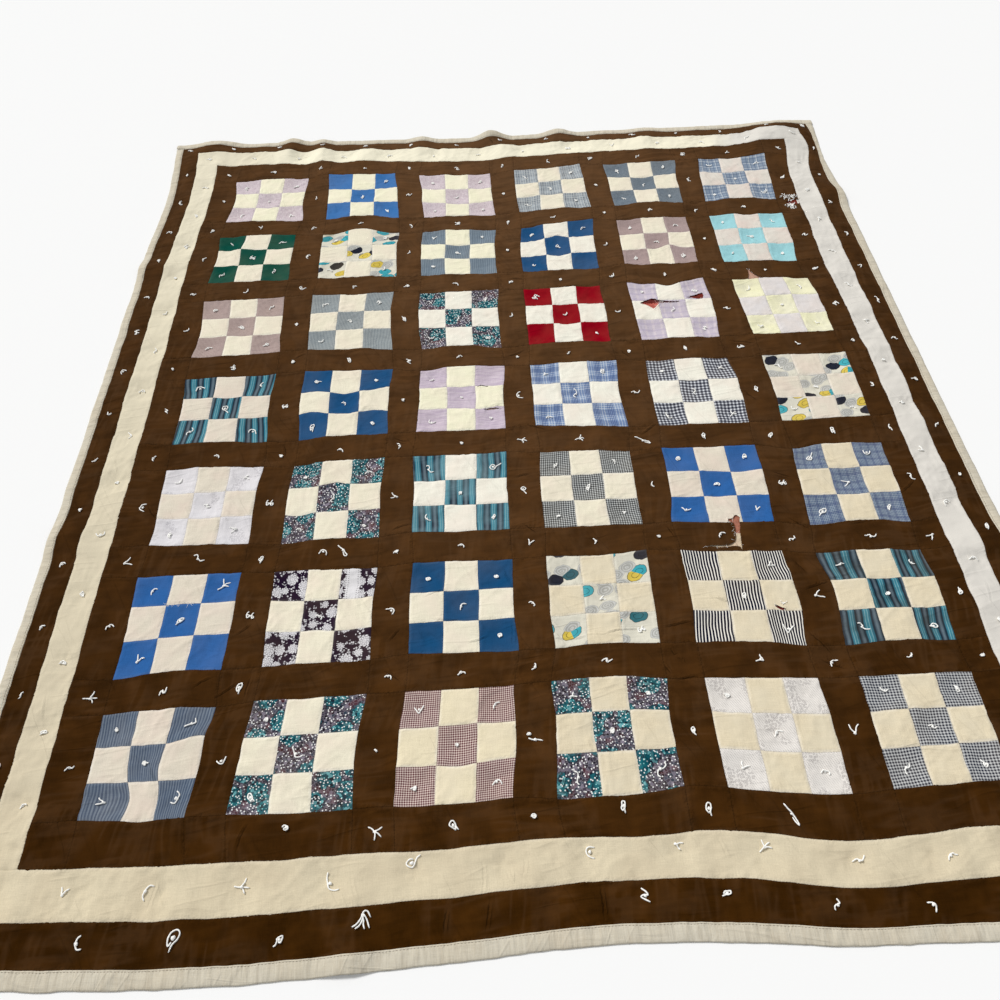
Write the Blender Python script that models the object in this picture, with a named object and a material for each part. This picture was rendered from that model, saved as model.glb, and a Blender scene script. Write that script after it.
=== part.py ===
"""A hand-tied nine-patch quilt, laid flat on a floor with its edges rippling.

Metres, +Z up, origin on the floor under the middle of the quilt. The quilt's foot end is at -Y.
Places on the quilt are first given in its own flat, sewn plane (u across, v along), measured from
the middle of the 6 by 7 blocks, and laid() then puts them where the cloth lies.
"""

import math

import bmesh
import bpy
from mathutils import Vector
from mathutils.bvhtree import BVHTree

# Patches, blocks and the brown sashing between them
PATCH = 0.064
SASH = 0.068
BLOCK = 3 * PATCH
PITCH = BLOCK + SASH
COLUMNS = 6
ROWS = 7

# Where each sewn edge lies, from the middle of the blocks outwards: the pieced field's edge, the
# cream band's outer seam, the brown border's outer seam and the folded edge of the binding
EDGES = {
    "left": (-0.820, -0.881, -0.931, -0.950),
    "right": (0.801, 0.859, 0.906, 0.926),
    "head": (0.941, 1.001, 1.040, 1.062),
    "foot": (-0.944, -1.017, -1.079, -1.105),
}

# Heights of the cloth over its own underside
TIED = 0.0045           # at a tie, where the layers are drawn together
PUFFED = 0.0095         # between the ties
SEAM_DIP = 0.0010       # a sewn seam lies this much lower
HEM_LOFT = 0.0030       # the folded binding, which holds no filling
GAP = 0.0004            # between one sewn piece and the next
FLOOR_PLAY = 0.0012     # ripples lower than this still lie on the floor

# The middle of the laid quilt, measured from the middle of the blocks
CENTRE_SHIFT = Vector((-0.0131, -0.0205, 0.0))

# How the sewn top has been pulled out of true: place, reach, and shift right and away
PULLS = (
    # u, v, reach, right, away
    (-0.10, 0.78, 0.17, 0.001, -0.024),
    (-0.65, 0.78, 0.14, 0.000, -0.009),
    (0.62, 0.70, 0.20, -0.004, 0.008),
    (-0.65, 0.47, 0.16, -0.012, 0.005),
    (-0.38, 0.50, 0.14, 0.008, 0.003),
    (0.00, 0.53, 0.12, 0.000, -0.009),
    (0.65, 0.48, 0.15, -0.013, 0.002),
    (-0.36, 0.24, 0.15, -0.001, 0.008),
    (0.62, 0.02, 0.20, 0.013, -0.006),
    (0.38, -0.02, 0.14, 0.001, -0.007),
    (-0.25, 0.00, 0.20, 0.007, 0.002),
    (0.70, -0.45, 0.33, 0.010, -0.015),
    (-0.62, -0.28, 0.18, 0.006, -0.005),
    (-0.38, -0.52, 0.14, 0.000, -0.008),
    (-0.78, -0.64, 0.14, 0.000, -0.018),
    (-0.60, -0.72, 0.12, -0.008, -0.006),
    (-0.36, -0.80, 0.20, -0.016, -0.003),
    (-0.46, -0.90, 0.12, -0.008, 0.002),
    (-0.10, -0.90, 0.16, -0.010, -0.008),
    (0.16, -0.74, 0.16, -0.008, 0.010),
    (0.14, -0.89, 0.10, 0.000, -0.018),
    (0.42, -0.84, 0.15, 0.002, -0.008),
    (0.48, -0.98, 0.14, 0.000, -0.017),
    (0.50, -1.10, 0.12, 0.000, 0.006),
    (0.12, -1.06, 0.30, 0.000, 0.020),
    (-0.55, -1.10, 0.26, 0.000, -0.012),
    (-0.92, 0.80, 0.16, 0.010, 0.000),
    (-0.96, 1.06, 0.14, -0.010, 0.014),
    (-0.06, 1.00, 0.22, 0.000, -0.010),
    (0.87, 0.92, 0.085, 0.036, 0.002),
    (0.95, 0.91, 0.09, -0.030, 0.000),
    (0.95, 1.08, 0.10, 0.008, 0.010),
)

# Where the quilt rides up off the floor, as soft ridges: place, heading of the crest in degrees,
# the crest's half length and half width, and its height
RIDGES = (
    # u, v, heading, half length, half width, height
    (-0.83, 1.06, 90, 0.110, 0.065, 0.016),
    (-0.61, 1.06, 80, 0.120, 0.036, 0.017),
    (-0.52, 1.00, 95, 0.110, 0.030, 0.014),
    (-0.70, 0.99, 80, 0.080, 0.045, 0.009),
    (-0.39, 0.96, 80, 0.080, 0.032, 0.008),
    (-0.23, 1.05, 90, 0.080, 0.034, 0.010),
    (-0.03, 1.08, 98, 0.060, 0.038, 0.025),
    (0.01, 0.98, 100, 0.060, 0.034, 0.008),
    (0.17, 1.07, 90, 0.060, 0.040, 0.016),
    (0.42, 1.00, 85, 0.090, 0.050, 0.007),
    (0.79, 0.985, 40, 0.090, 0.070, 0.023),
    (-0.92, 0.50, 5, 0.070, 0.034, 0.011),
    (0.90, 0.70, 150, 0.060, 0.040, 0.012),
    (-0.91, -0.33, -10, 0.080, 0.038, 0.010),
    (0.88, -0.42, 20, 0.080, 0.040, 0.010),
    (0.36, 0.66, 8, 0.200, 0.050, 0.006),
    (0.60, 0.36, -25, 0.170, 0.050, 0.006),
    (-0.30, -1.08, 75, 0.050, 0.036, 0.008),
    (0.70, -1.08, 105, 0.060, 0.040, 0.010),
)

# Outlines of the short string ties, as a path through the knot: along and across, in metres
TIE_SHAPES = (
    ((-0.011, 0.004), (-0.006, 0.001), (-0.001, 0.000), (0.003, 0.001), (0.008, 0.003), (0.013, 0.000)),
    ((-0.008, -0.006), (-0.006, -0.001), (-0.001, 0.001), (0.003, 0.001), (0.008, -0.001), (0.010, -0.006)),
    ((-0.013, -0.002), (-0.007, 0.001), (-0.002, 0.000), (0.002, -0.001), (0.006, 0.003), (0.007, 0.008)),
    ((-0.007, 0.007), (-0.004, 0.003), (-0.001, 0.000), (0.002, -0.001), (0.007, -0.004), (0.014, -0.005)),
)
TIE_RADII = (0.0007, 0.0010, 0.0022, 0.0022, 0.0010, 0.0007)
TIE_CLEARANCE = 0.0006

FINISHES = {
    # base colour, roughness
    "brown_sashing": ((0.075, 0.036, 0.012), 0.92),
    "cream_muslin": ((0.72, 0.66, 0.51), 0.90),
    "brown_cotton": ((0.062, 0.029, 0.010), 0.92),
    "binding_muslin": ((0.62, 0.59, 0.52), 0.90),
    "tie_string": ((0.86, 0.84, 0.78), 0.85),
}


def clear_scene():
    for thing in list(bpy.data.objects):
        bpy.data.objects.remove(thing, do_unlink=True)


def finish(name):
    material = bpy.data.materials.get(name) or bpy.data.materials.new(name)
    material.use_nodes = True
    colour, roughness = FINISHES[name]
    shader = material.node_tree.nodes["Principled BSDF"]
    shader.inputs["Base Color"].default_value = (*colour, 1.0)
    shader.inputs["Roughness"].default_value = roughness
    shader.inputs["Metallic"].default_value = 0.0
    return material


def pulled(u, v):
    """The sewn point's place on the floor."""
    x, y = u, v
    for at_u, at_v, reach, right, away in PULLS:
        weight = math.exp(-((u - at_u) ** 2 + (v - at_v) ** 2) / reach**2)
        x += weight * right
        y += weight * away
    return x - CENTRE_SHIFT.x, y - CENTRE_SHIFT.y


def lift(u, v):
    """How far the underside is off the floor."""
    height = 0.0
    for at_u, at_v, heading, half_length, half_width, crest in RIDGES:
        turn = math.radians(heading)
        along = (u - at_u) * math.cos(turn) + (v - at_v) * math.sin(turn)
        across = (v - at_v) * math.cos(turn) - (u - at_u) * math.sin(turn)
        height += crest * math.exp(-((along / half_length) ** 2) - (across / half_width) ** 2)
    return max(0.0, height - FLOOR_PLAY)


def loft(u, v):
    """The cloth's own height: ties stand at the corners and the middle of every half pitch square."""
    half = PITCH / 2
    dimple = (math.cos(math.pi * (u + v) / half) * math.cos(math.pi * (u - v) / half)) ** 2
    return PUFFED - (PUFFED - TIED) * dimple


def laid(u, v, height):
    x, y = pulled(u, v)
    return Vector((x, y, lift(u, v) + height))


def lattice_lines(count, low_edge, high_edge):
    """Lines across one way of the field: its edges, tie lines, block edges, seams and patch middles."""
    offsets = [step * PATCH / 2 for step in range(-3, 4)]
    middles = [(i - (count - 1) / 2) * PITCH for i in range(count)]
    lines = [low_edge, (low_edge + middles[0] - BLOCK / 2) / 2]
    for i, middle in enumerate(middles):
        lines += [middle + offset for offset in offsets]
        if i < count - 1:
            lines.append(middle + PITCH / 2)
    lines += [(high_edge + middles[-1] + BLOCK / 2) / 2, high_edge]
    return lines


def is_seam(distance, count):
    """True on a block's edge or on a seam between two of its patches."""
    middle = min(((i - (count - 1) / 2) * PITCH for i in range(count)), key=lambda m: abs(distance - m))
    away = abs(distance - middle)
    return min(abs(away - PATCH / 2), abs(away - BLOCK / 2)) < 0.001


def solid_from_grid(name, columns, rows, top_point, floor_point, material):
    """A grid is laid by top_point, then extruded down to the underside given by floor_point."""
    mesh = bmesh.new()
    bmesh.ops.create_grid(mesh, x_segments=columns - 1, y_segments=rows - 1, size=1)
    places = {}
    for vertex in mesh.verts:
        i = round((vertex.co.x + 1) / 2 * (columns - 1))
        j = round((vertex.co.y + 1) / 2 * (rows - 1))
        places[vertex] = (i, j)
    under = bmesh.ops.extrude_face_region(mesh, geom=mesh.faces[:], use_keep_orig=True)
    lower = [item for item in under["geom"] if isinstance(item, bmesh.types.BMVert)]
    for vertex in lower:
        i = round((vertex.co.x + 1) / 2 * (columns - 1))
        j = round((vertex.co.y + 1) / 2 * (rows - 1))
        vertex.co = floor_point(i, j)
    for vertex, (i, j) in places.items():
        vertex.co = top_point(i, j)
    bmesh.ops.recalc_face_normals(mesh, faces=mesh.faces)
    data = bpy.data.meshes.new(name)
    mesh.to_mesh(data)
    mesh.free()
    data.materials.append(finish(material))
    data.shade_smooth()
    solid = bpy.data.objects.new(name, data)
    bpy.context.collection.objects.link(solid)
    return solid


def straightened(point, i, j, columns, rows):
    """Edge points with odd numbers lie halfway between their neighbours, so that borders meet them."""
    if i in (0, columns - 1) and j % 2:
        return (point(i, j - 1) + point(i, j + 1)) / 2
    if j in (0, rows - 1) and i % 2:
        return (point(i - 1, j) + point(i + 1, j)) / 2
    return point(i, j)


def pieced_field(across, along):
    """The blocks and their sashing, with the filling under them, as one tufted solid."""
    columns, rows = len(across), len(along)

    def place(i, j):
        u = min(max(across[i], across[0] + GAP / 2), across[-1] - GAP / 2)
        v = min(max(along[j], along[0] + GAP / 2), along[-1] - GAP / 2)
        return u, v

    def top(i, j):
        u, v = place(i, j)
        sewn = is_seam(u, COLUMNS) or is_seam(v, ROWS) or i in (0, columns - 1) or j in (0, rows - 1)
        return laid(u, v, loft(u, v) - (SEAM_DIP if sewn else 0.0))

    def floor(i, j):
        return laid(*place(i, j), 0.0)

    return solid_from_grid(
        "quilt_field",
        columns,
        rows,
        lambda i, j: straightened(top, i, j, columns, rows),
        lambda i, j: straightened(floor, i, j, columns, rows),
        "brown_sashing",
    )


def strip(name, stations, inner, outer, upright, material, hem=False):
    """A border strip between its inner and outer seams, crowned along its middle.

    upright is True for a strip that runs along v. A hem thins out to its folded edge.
    """
    inwards = 1 if outer > inner else -1
    seams = (inner + inwards * GAP / 2, outer - (0 if hem else inwards * GAP / 2))
    stations = [stations[0] + GAP / 2, *stations[1:-1], stations[-1] - GAP / 2]

    def sewn_place(station, seam):
        return (seam, station) if upright else (station, seam)

    def surface(k, side, top):
        station = stations[k]
        if side == 1:
            middle = sum((surface(k, edge, False) for edge in (0, 2)), Vector()) / 2
            if top:
                u, v = sewn_place(station, sum(seams) / 2)
                middle.z += HEM_LOFT if hem else loft(u, v)
            return middle
        u, v = sewn_place(station, seams[side // 2])
        height = loft(u, v) - SEAM_DIP
        if hem:
            height = HEM_LOFT if side == 0 else HEM_LOFT * 0.6
        return laid(u, v, height if top else 0.0)

    if upright:
        columns, rows = 3, len(stations)
        return solid_from_grid(
            name, columns, rows,
            lambda i, j: surface(j, i, True), lambda i, j: surface(j, i, False), material,
        )
    columns, rows = len(stations), 3
    return solid_from_grid(
        name, columns, rows,
        lambda i, j: surface(i, j, True), lambda i, j: surface(i, j, False), material,
    )


def border(kind, ring, across, along, material, hem=False):
    """Four strips round the quilt: the side strips first, then the head and foot strips over their ends."""
    inner = {side: EDGES[side][ring] for side in EDGES}
    outer = {side: EDGES[side][ring + 1] for side in EDGES}
    for side in ("left", "right"):
        strip(f"{kind}_{side}", along, inner[side], outer[side], True, material, hem)
    wider = [outer["left"], *across, outer["right"]]
    for side in ("head", "foot"):
        strip(f"{kind}_{side}", wider, inner[side], outer[side], False, material, hem)
    return wider, [outer["foot"], *along, outer["head"]]


def tie(name, u, v, shape, heading, surface):
    """A short string knotted through the quilt, lying on the cloth round its stitch."""
    turn = math.radians(heading)
    centre = laid(u, v, 0.0)
    curve = bpy.data.curves.new(name, "CURVE")
    curve.dimensions = "3D"
    curve.bevel_depth = 1.0
    curve.bevel_resolution = 0
    curve.use_fill_caps = True
    path = curve.splines.new("POLY")
    path.points.add(len(shape) - 1)
    for point, (along, across), radius in zip(path.points, shape, TIE_RADII):
        x = centre.x + along * math.cos(turn) - across * math.sin(turn)
        y = centre.y + along * math.sin(turn) + across * math.cos(turn)
        ground = surface.ray_cast(Vector((x, y, 1.0)), Vector((0.0, 0.0, -1.0)))[0]
        point.co = (x, y, ground.z + radius + TIE_CLEARANCE, 1.0)
        point.radius = radius
    curve.materials.append(finish("tie_string"))
    knot = bpy.data.objects.new(name, curve)
    bpy.context.collection.objects.link(knot)


def block_ties(field):
    """One tie at the middle of every block; each lies its own way."""
    tree = BVHTree.FromObject(field, bpy.context.evaluated_depsgraph_get())
    for row in range(ROWS):
        for column in range(COLUMNS):
            u = (column - (COLUMNS - 1) / 2) * PITCH
            v = ((ROWS - 1) / 2 - row) * PITCH
            shape = TIE_SHAPES[(row * 3 + column * 5) % len(TIE_SHAPES)]
            heading = (row * 67 + column * 131) % 360
            tie(f"tie_r{row + 1}_c{column + 1}", u, v, shape, heading, tree)


def build_quilt():
    clear_scene()
    across = lattice_lines(COLUMNS, EDGES["left"][0], EDGES["right"][0])
    along = lattice_lines(ROWS, EDGES["foot"][0], EDGES["head"][0])
    field = pieced_field(across, along)
    across, along = across[::2], along[::2]
    across, along = border("cream_band", 0, across, along, "cream_muslin")
    across, along = border("brown_border", 1, across, along, "brown_cotton")
    border("binding", 2, across, along, "binding_muslin", hem=True)
    bpy.context.view_layer.update()
    block_ties(field)


build_quilt()
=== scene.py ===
import math

import bmesh
import bpy
import numpy as np
from mathutils import Matrix, Vector


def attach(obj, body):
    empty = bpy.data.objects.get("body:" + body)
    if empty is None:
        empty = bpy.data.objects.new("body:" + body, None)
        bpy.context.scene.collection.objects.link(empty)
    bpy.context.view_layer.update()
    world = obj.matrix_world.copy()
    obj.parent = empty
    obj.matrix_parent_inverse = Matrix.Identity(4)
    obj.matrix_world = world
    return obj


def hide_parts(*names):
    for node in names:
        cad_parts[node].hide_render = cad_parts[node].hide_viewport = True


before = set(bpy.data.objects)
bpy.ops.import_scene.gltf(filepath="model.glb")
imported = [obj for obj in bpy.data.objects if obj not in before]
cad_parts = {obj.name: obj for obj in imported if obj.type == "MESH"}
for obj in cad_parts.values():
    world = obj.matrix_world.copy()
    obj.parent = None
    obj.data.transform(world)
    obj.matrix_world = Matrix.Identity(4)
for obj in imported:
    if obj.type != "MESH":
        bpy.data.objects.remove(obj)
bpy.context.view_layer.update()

# how the quilt is sewn, in metres from the middle of its blocks
quilt = {
    "patch": 0.064,
    "sash": 0.068,
    "columns": 6,
    "rows": 7,
    # field edge, cream band's outer seam, brown border's outer seam, folded edge
    "left": (-0.820, -0.881, -0.931, -0.950),
    "right": (0.801, 0.859, 0.906, 0.926),
    "head": (0.941, 1.001, 1.040, 1.062),
    "foot": (-0.944, -1.017, -1.079, -1.105),
    "tied": 0.0045,          # cloth height where a tie draws it down
    "puffed": 0.0095,        # and between the ties
    "floorPlay": 0.0012,     # a ridge lower than this lies flat
    "centre": (-0.0131, -0.0205),
}
patchSize = quilt["patch"]
blockSize = 3 * patchSize
pitch = blockSize + quilt["sash"]
columns = quilt["columns"]
rows = quilt["rows"]


def blockMiddle(row, column):
    return (column - (columns - 1) / 2) * pitch, ((rows - 1) / 2 - row) * pitch


# how the sewn top has been pulled out of true: place, reach, shift right and away
pulls = [
    (-0.10, 0.78, 0.17, 0.001, -0.024), (-0.65, 0.78, 0.14, 0.000, -0.009),
    (0.62, 0.70, 0.20, -0.004, 0.008), (-0.65, 0.47, 0.16, -0.012, 0.005),
    (-0.38, 0.50, 0.14, 0.008, 0.003), (0.00, 0.53, 0.12, 0.000, -0.009),
    (0.65, 0.48, 0.15, -0.013, 0.002), (-0.36, 0.24, 0.15, -0.001, 0.008),
    (0.62, 0.02, 0.20, 0.013, -0.006), (0.38, -0.02, 0.14, 0.001, -0.007),
    (-0.25, 0.00, 0.20, 0.007, 0.002), (0.70, -0.45, 0.33, 0.010, -0.015),
    (-0.62, -0.28, 0.18, 0.006, -0.005), (-0.38, -0.52, 0.14, 0.000, -0.008),
    (-0.78, -0.64, 0.14, 0.000, -0.018), (-0.60, -0.72, 0.12, -0.008, -0.006),
    (-0.36, -0.80, 0.20, -0.016, -0.003), (-0.46, -0.90, 0.12, -0.008, 0.002),
    (-0.10, -0.90, 0.16, -0.010, -0.008), (0.16, -0.74, 0.16, -0.008, 0.010),
    (0.14, -0.89, 0.10, 0.000, -0.018), (0.42, -0.84, 0.15, 0.002, -0.008),
    (0.48, -0.98, 0.14, 0.000, -0.017), (0.50, -1.10, 0.12, 0.000, 0.006),
    (0.12, -1.06, 0.30, 0.000, 0.020), (-0.55, -1.10, 0.26, 0.000, -0.012),
    (-0.92, 0.80, 0.16, 0.010, 0.000), (-0.96, 1.06, 0.14, -0.010, 0.014),
    (-0.06, 1.00, 0.22, 0.000, -0.010), (0.87, 0.92, 0.085, 0.036, 0.002),
    (0.95, 0.91, 0.09, -0.030, 0.000), (0.95, 1.08, 0.10, 0.008, 0.010),
]

# soft ridges off the floor: place, heading, half length, half width, height
ridges = [
    (-0.83, 1.06, 90, 0.110, 0.065, 0.016), (-0.61, 1.06, 80, 0.120, 0.036, 0.017),
    (-0.52, 1.00, 95, 0.110, 0.030, 0.014), (-0.70, 0.99, 80, 0.080, 0.045, 0.009),
    (-0.39, 0.96, 80, 0.080, 0.032, 0.008), (-0.23, 1.05, 90, 0.080, 0.034, 0.010),
    (-0.03, 1.08, 98, 0.060, 0.038, 0.025), (0.01, 0.98, 100, 0.060, 0.034, 0.008),
    (0.17, 1.07, 90, 0.060, 0.040, 0.016), (0.42, 1.00, 85, 0.090, 0.050, 0.007),
    (0.79, 0.985, 40, 0.090, 0.070, 0.023), (-0.92, 0.50, 5, 0.070, 0.034, 0.011),
    (0.90, 0.70, 150, 0.060, 0.040, 0.012), (-0.91, -0.33, -10, 0.080, 0.038, 0.010),
    (0.88, -0.42, 20, 0.080, 0.040, 0.010), (0.36, 0.66, 8, 0.200, 0.050, 0.006),
    (0.60, 0.36, -25, 0.170, 0.050, 0.006), (-0.30, -1.08, 75, 0.050, 0.036, 0.008),
    (0.70, -1.08, 105, 0.060, 0.040, 0.010),
]

# how far each block's corners are off true, in millimetres right and away:
# head left, head right, foot right, foot left
blockCorners = {
    (0, 0): ((-10, -11), (7, -10), (9, -10), (-7, -3)), (0, 1): ((-8, 9), (-9, 5), (6, -13), (1, -9)),
    (0, 2): ((-9, -6), (-2, -2), (7, -6), (7, -10)), (0, 3): ((-2, 5), (-4, 10), (8, -8), (5, -2)),
    (0, 4): ((-7, -4), (8, 2), (0, -13), (1, -9)), (0, 5): ((8, 4), (3, 14), (-6, -13), (-5, -9)),
    (1, 0): ((-9, -4), (-3, -3), (3, -2), (-5, 0)), (1, 1): ((2, -14), (7, -12), (5, -5), (4, 0)),
    (1, 2): ((2, -9), (5, -5), (3, -2), (2, -4)), (1, 3): ((5, -7), (7, 11), (2, -3), (2, 0)),
    (1, 4): ((0, -3), (-3, 0), (-3, 3), (0, 10)), (1, 5): ((-5, -5), (-3, -4), (-12, -8), (-3, -3)),
    (2, 0): ((-8, 0), (0, 4), (5, 4), (-7, 0)), (2, 1): ((-4, 8), (1, 8), (6, -9), (1, 6)),
    (2, 2): ((2, -5), (4, 3), (3, -12), (7, -7)), (2, 3): ((-2, -3), (-4, 0), (-2, -6), (0, -5)),
    (2, 4): ((-3, 8), (-5, 13), (-11, -4), (4, -4)), (2, 5): ((-1, -6), (-5, -5), (-2, 2), (2, 3)),
    (3, 0): ((-9, -3), (6, 1), (8, -7), (-3, -4)), (3, 1): ((1, 3), (8, -1), (4, -3), (7, -7)),
    (3, 2): ((2, -12), (8, -2), (2, -2), (-3, 0)), (3, 3): ((-2, -4), (6, 3), (7, -6), (0, 7)),
    (3, 4): ((2, -5), (-10, -4), (-2, -3), (2, -4)), (3, 5): ((0, 0), (2, -2), (-1, 2), (0, 0)),
    (4, 0): ((-1, -5), (7, -6), (4, -3), (2, 2)), (4, 1): ((5, -9), (2, 3), (2, -5), (1, -9)),
    (4, 2): ((-7, 2), (0, 5), (0, 0), (-1, 4)), (4, 3): ((5, -4), (0, -6), (3, -2), (3, 1)),
    (4, 4): ((-1, 2), (-3, 4), (-5, 3), (-10, 4)), (4, 5): ((4, -13), (0, -8), (-3, -9), (-5, -10)),
    (5, 0): ((-5, -2), (0, -1), (-1, -5), (0, -4)), (5, 1): ((-3, 0), (3, -4), (5, -1), (6, -5)),
    (5, 2): ((3, 2), (3, -2), (7, -2), (5, 5)), (5, 3): ((-1, 2), (0, 8), (1, -2), (6, -3)),
    (5, 4): ((-3, 4), (-5, 1), (-8, -6), (-6, 1)), (5, 5): ((-14, -5), (-9, -5), (-8, -6), (-10, -8)),
    (6, 0): ((0, 0), (9, -4), (-12, 4), (0, 4)), (6, 1): ((3, 2), (8, 2), (2, 2), (-5, 3)),
    (6, 2): ((3, 0), (-3, -2), (-7, 2), (-3, 2)), (6, 3): ((-6, 0), (5, -6), (3, 5), (-6, -8)),
    (6, 4): ((-1, -3), (-4, -1), (1, 1), (0, 0)),
}
# seams that bow between corners: block, place inside it, reach and shift, all in millimetres
seamBows = [
    ((0, 1), (0, 20), 50, (0, -8)), ((0, 4), (0, 20), 45, (0, -12)), ((0, 5), (-20, 20), 45, (0, -8)),
    ((0, 2), (0, -30), 50, (0, -6)), ((0, 0), (0, 0), 50, (2, -4)),
    ((1, 0), (-32, 32), 30, (-5, 7)), ((1, 1), (0, 96), 34, (0, 10)), ((1, 2), (0, 32), 40, (0, -9)),
    ((1, 3), (0, 32), 24, (0, 11)), ((1, 3), (0, -32), 26, (0, -8)), ((1, 4), (30, -32), 26, (-2, 15)),
    ((1, 4), (-6, -96), 26, (0, 8)), ((1, 5), (10, 92), 30, (0, -7)), ((2, 3), (0, -32), 24, (0, -5)),
    ((2, 4), (0, 92), 26, (0, -12)), ((2, 4), (-60, 96), 24, (0, -5)), ((2, 0), (-32, -32), 30, (0, 3)),
    ((3, 1), (0, 32), 24, (0, -6)), ((3, 1), (96, 30), 26, (0, 9)), ((3, 1), (-70, -32), 28, (0, 10)),
    ((3, 1), (64, -32), 26, (0, 7)), ((3, 1), (-64, 32), 24, (0, 5)), ((3, 2), (40, -30), 26, (0, -5)),
    ((3, 0), (0, 32), 26, (0, -4)), ((4, 1), (0, 32), 24, (0, 8)), ((4, 1), (-70, -34), 28, (0, -6)),
    ((4, 4), (40, 30), 34, (0, -5)), ((4, 5), (0, 0), 70, (0, -3)), ((5, 0), (0, 32), 24, (0, 2)),
    ((6, 0), (84, 30), 34, (0, 12)), ((6, 0), (30, -10), 26, (-7, 0)), ((6, 0), (-34, -64), 34, (14, 0)),
    ((5, 1), (0, -32), 22, (0, 3)), ((6, 2), (0, -40), 30, (0, -3)), ((6, 3), (-32, 0), 28, (-3, 0)),
]
millimetre = 0.001
cornerReach = 0.050
cornerShare = 0.0009         # metres for each millimetre, as neighbouring corners add to it
tugs = []
for (row, column), corners in blockCorners.items():
    middleU, middleV = blockMiddle(row, column)
    for (sideU, sideV), (right, away) in zip(((-1, 1), (1, 1), (1, -1), (-1, -1)), corners):
        shifts = (right * cornerShare, away * cornerShare)
        tugs.append((middleU + sideU * blockSize / 2, middleV + sideV * blockSize / 2, cornerReach, *shifts))
for (row, column), (besideU, besideV), reach, (right, away) in seamBows:
    middleU, middleV = blockMiddle(row, column)
    shifts = (right * millimetre, away * millimetre)
    tugs.append((middleU + besideU * millimetre, middleV + besideV * millimetre, reach * millimetre, *shifts))

# sharp creases of the top cloth: from and to, in sewn metres
creaseLines = [
    (-0.597, -0.955, -0.606, -1.008), (-0.470, -0.936, -0.448, -0.886), (-0.296, -0.970, -0.283, -1.012),
    (-0.094, -0.965, -0.100, -1.022), (-0.086, -1.024, -0.098, -1.072), (-0.150, -1.030, -0.158, -1.068),
    (-0.032, -0.966, -0.038, -1.004), (-0.100, -1.078, -0.108, -1.106), (-0.075, -1.082, -0.082, -1.104),
    (0.075, -1.018, 0.076, -1.078), (-0.060, -0.985, -0.048, -1.014), (0.260, -0.952, 0.272, -0.992),
    (-0.545, -0.560, -0.512, -0.532), (-0.560, -0.670, -0.520, -0.640), (-0.600, -0.655, -0.560, -0.628),
    (-0.500, -0.630, -0.505, -0.680), (-0.272, -0.640, -0.235, -0.668), (-0.262, -0.588, -0.240, -0.560),
    (-0.190, -0.545, -0.120, -0.552), (-0.200, -0.500, -0.150, -0.488), (-0.120, -0.600, -0.080, -0.585),
    (-0.040, -0.560, -0.045, -0.606), (-0.035, -0.480, -0.050, -0.440), (0.020, -0.592, 0.110, -0.600),
    (0.120, -0.602, 0.215, -0.590), (0.225, -0.588, 0.300, -0.572), (0.243, -0.626, 0.258, -0.648),
    (0.256, -0.640, 0.262, -0.656), (0.226, -0.656, 0.236, -0.676), (0.236, -0.690, 0.292, -0.680),
    (0.500, -0.512, 0.560, -0.488), (0.545, -0.486, 0.610, -0.470), (0.486, -0.585, 0.530, -0.640),
    (0.500, -0.640, 0.545, -0.668), (0.520, -0.480, 0.500, -0.440), (0.278, -0.362, 0.290, -0.398),
    (0.330, -0.520, 0.372, -0.538), (0.240, -0.330, 0.214, -0.300), (0.510, -0.340, 0.560, -0.372),
    (0.545, -0.250, 0.500, -0.236), (-0.270, -0.350, -0.220, -0.338), (-0.290, -0.340, -0.340, -0.362),
    (-0.010, -0.345, 0.020, -0.372), (-0.020, -0.230, 0.018, -0.222), (-0.512, -0.140, -0.520, -0.100),
    (-0.236, -0.120, -0.280, -0.108), (0.010, -0.092, 0.062, -0.110), (0.250, -0.120, 0.292, -0.090),
    (0.520, -0.040, 0.492, 0.000), (0.556, 0.130, 0.500, 0.150), (0.236, 0.140, 0.262, 0.100),
    (-0.030, 0.130, 0.030, 0.150), (-0.286, 0.140, -0.240, 0.122), (-0.520, 0.136, -0.482, 0.150),
    (0.236, 0.390, 0.290, 0.378), (0.500, 0.400, 0.552, 0.382), (-0.010, 0.402, 0.040, 0.392),
    (-0.262, 0.640, -0.240, 0.670), (0.262, 0.652, 0.236, 0.622), (0.506, 0.910, 0.520, 0.868),
    (0.744, -0.300, 0.792, -0.262), (0.750, 0.050, 0.790, 0.020), (-0.770, -0.250, -0.740, -0.300),
    (-0.846, -0.700, -0.858, -0.640), (-0.842, -0.180, -0.862, -0.130), (0.828, -0.560, 0.836, -0.500),
    (-0.420, 0.968, -0.404, 0.950), (-0.020, 1.004, -0.034, 1.036), (0.004, 1.006, -0.006, 1.036),
    (0.152, -0.700, 0.182, -0.716), (-0.620, -0.820, -0.640, -0.780), (0.596, -0.200, 0.640, -0.220),
]

# creases and puckers of the top cloth
crumple = {
    "wander": 0.0013,        # how far a seam strays from straight
    "swell": 0.0013,         # slow waves
    "crease": 0.0011,        # long thin folds
    "pucker": 0.0006,        # ripples beside a seam
    "gather": 0.0011,        # ripples across the borders
    "seam": 0.0010,          # how deep a seam lies
    "seamWide": 0.0024,
    "faintSeam": 0.0009,     # a seam between two brown pieces
    "faintWide": 0.0022,
    "pinch": 0.0012,         # under each knot
    "pinchWide": 0.007,
    "star": 0.0006,          # little folds round each knot
    "starWide": 0.024,
    "thinEdge": 0.38,        # how full the cloth is at the binding
    "thinnest": 0.0016,
    "tuck": 0.0013,          # how far a seam allowance lies under its neighbour
    "tuckWide": 0.0022,
}


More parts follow.
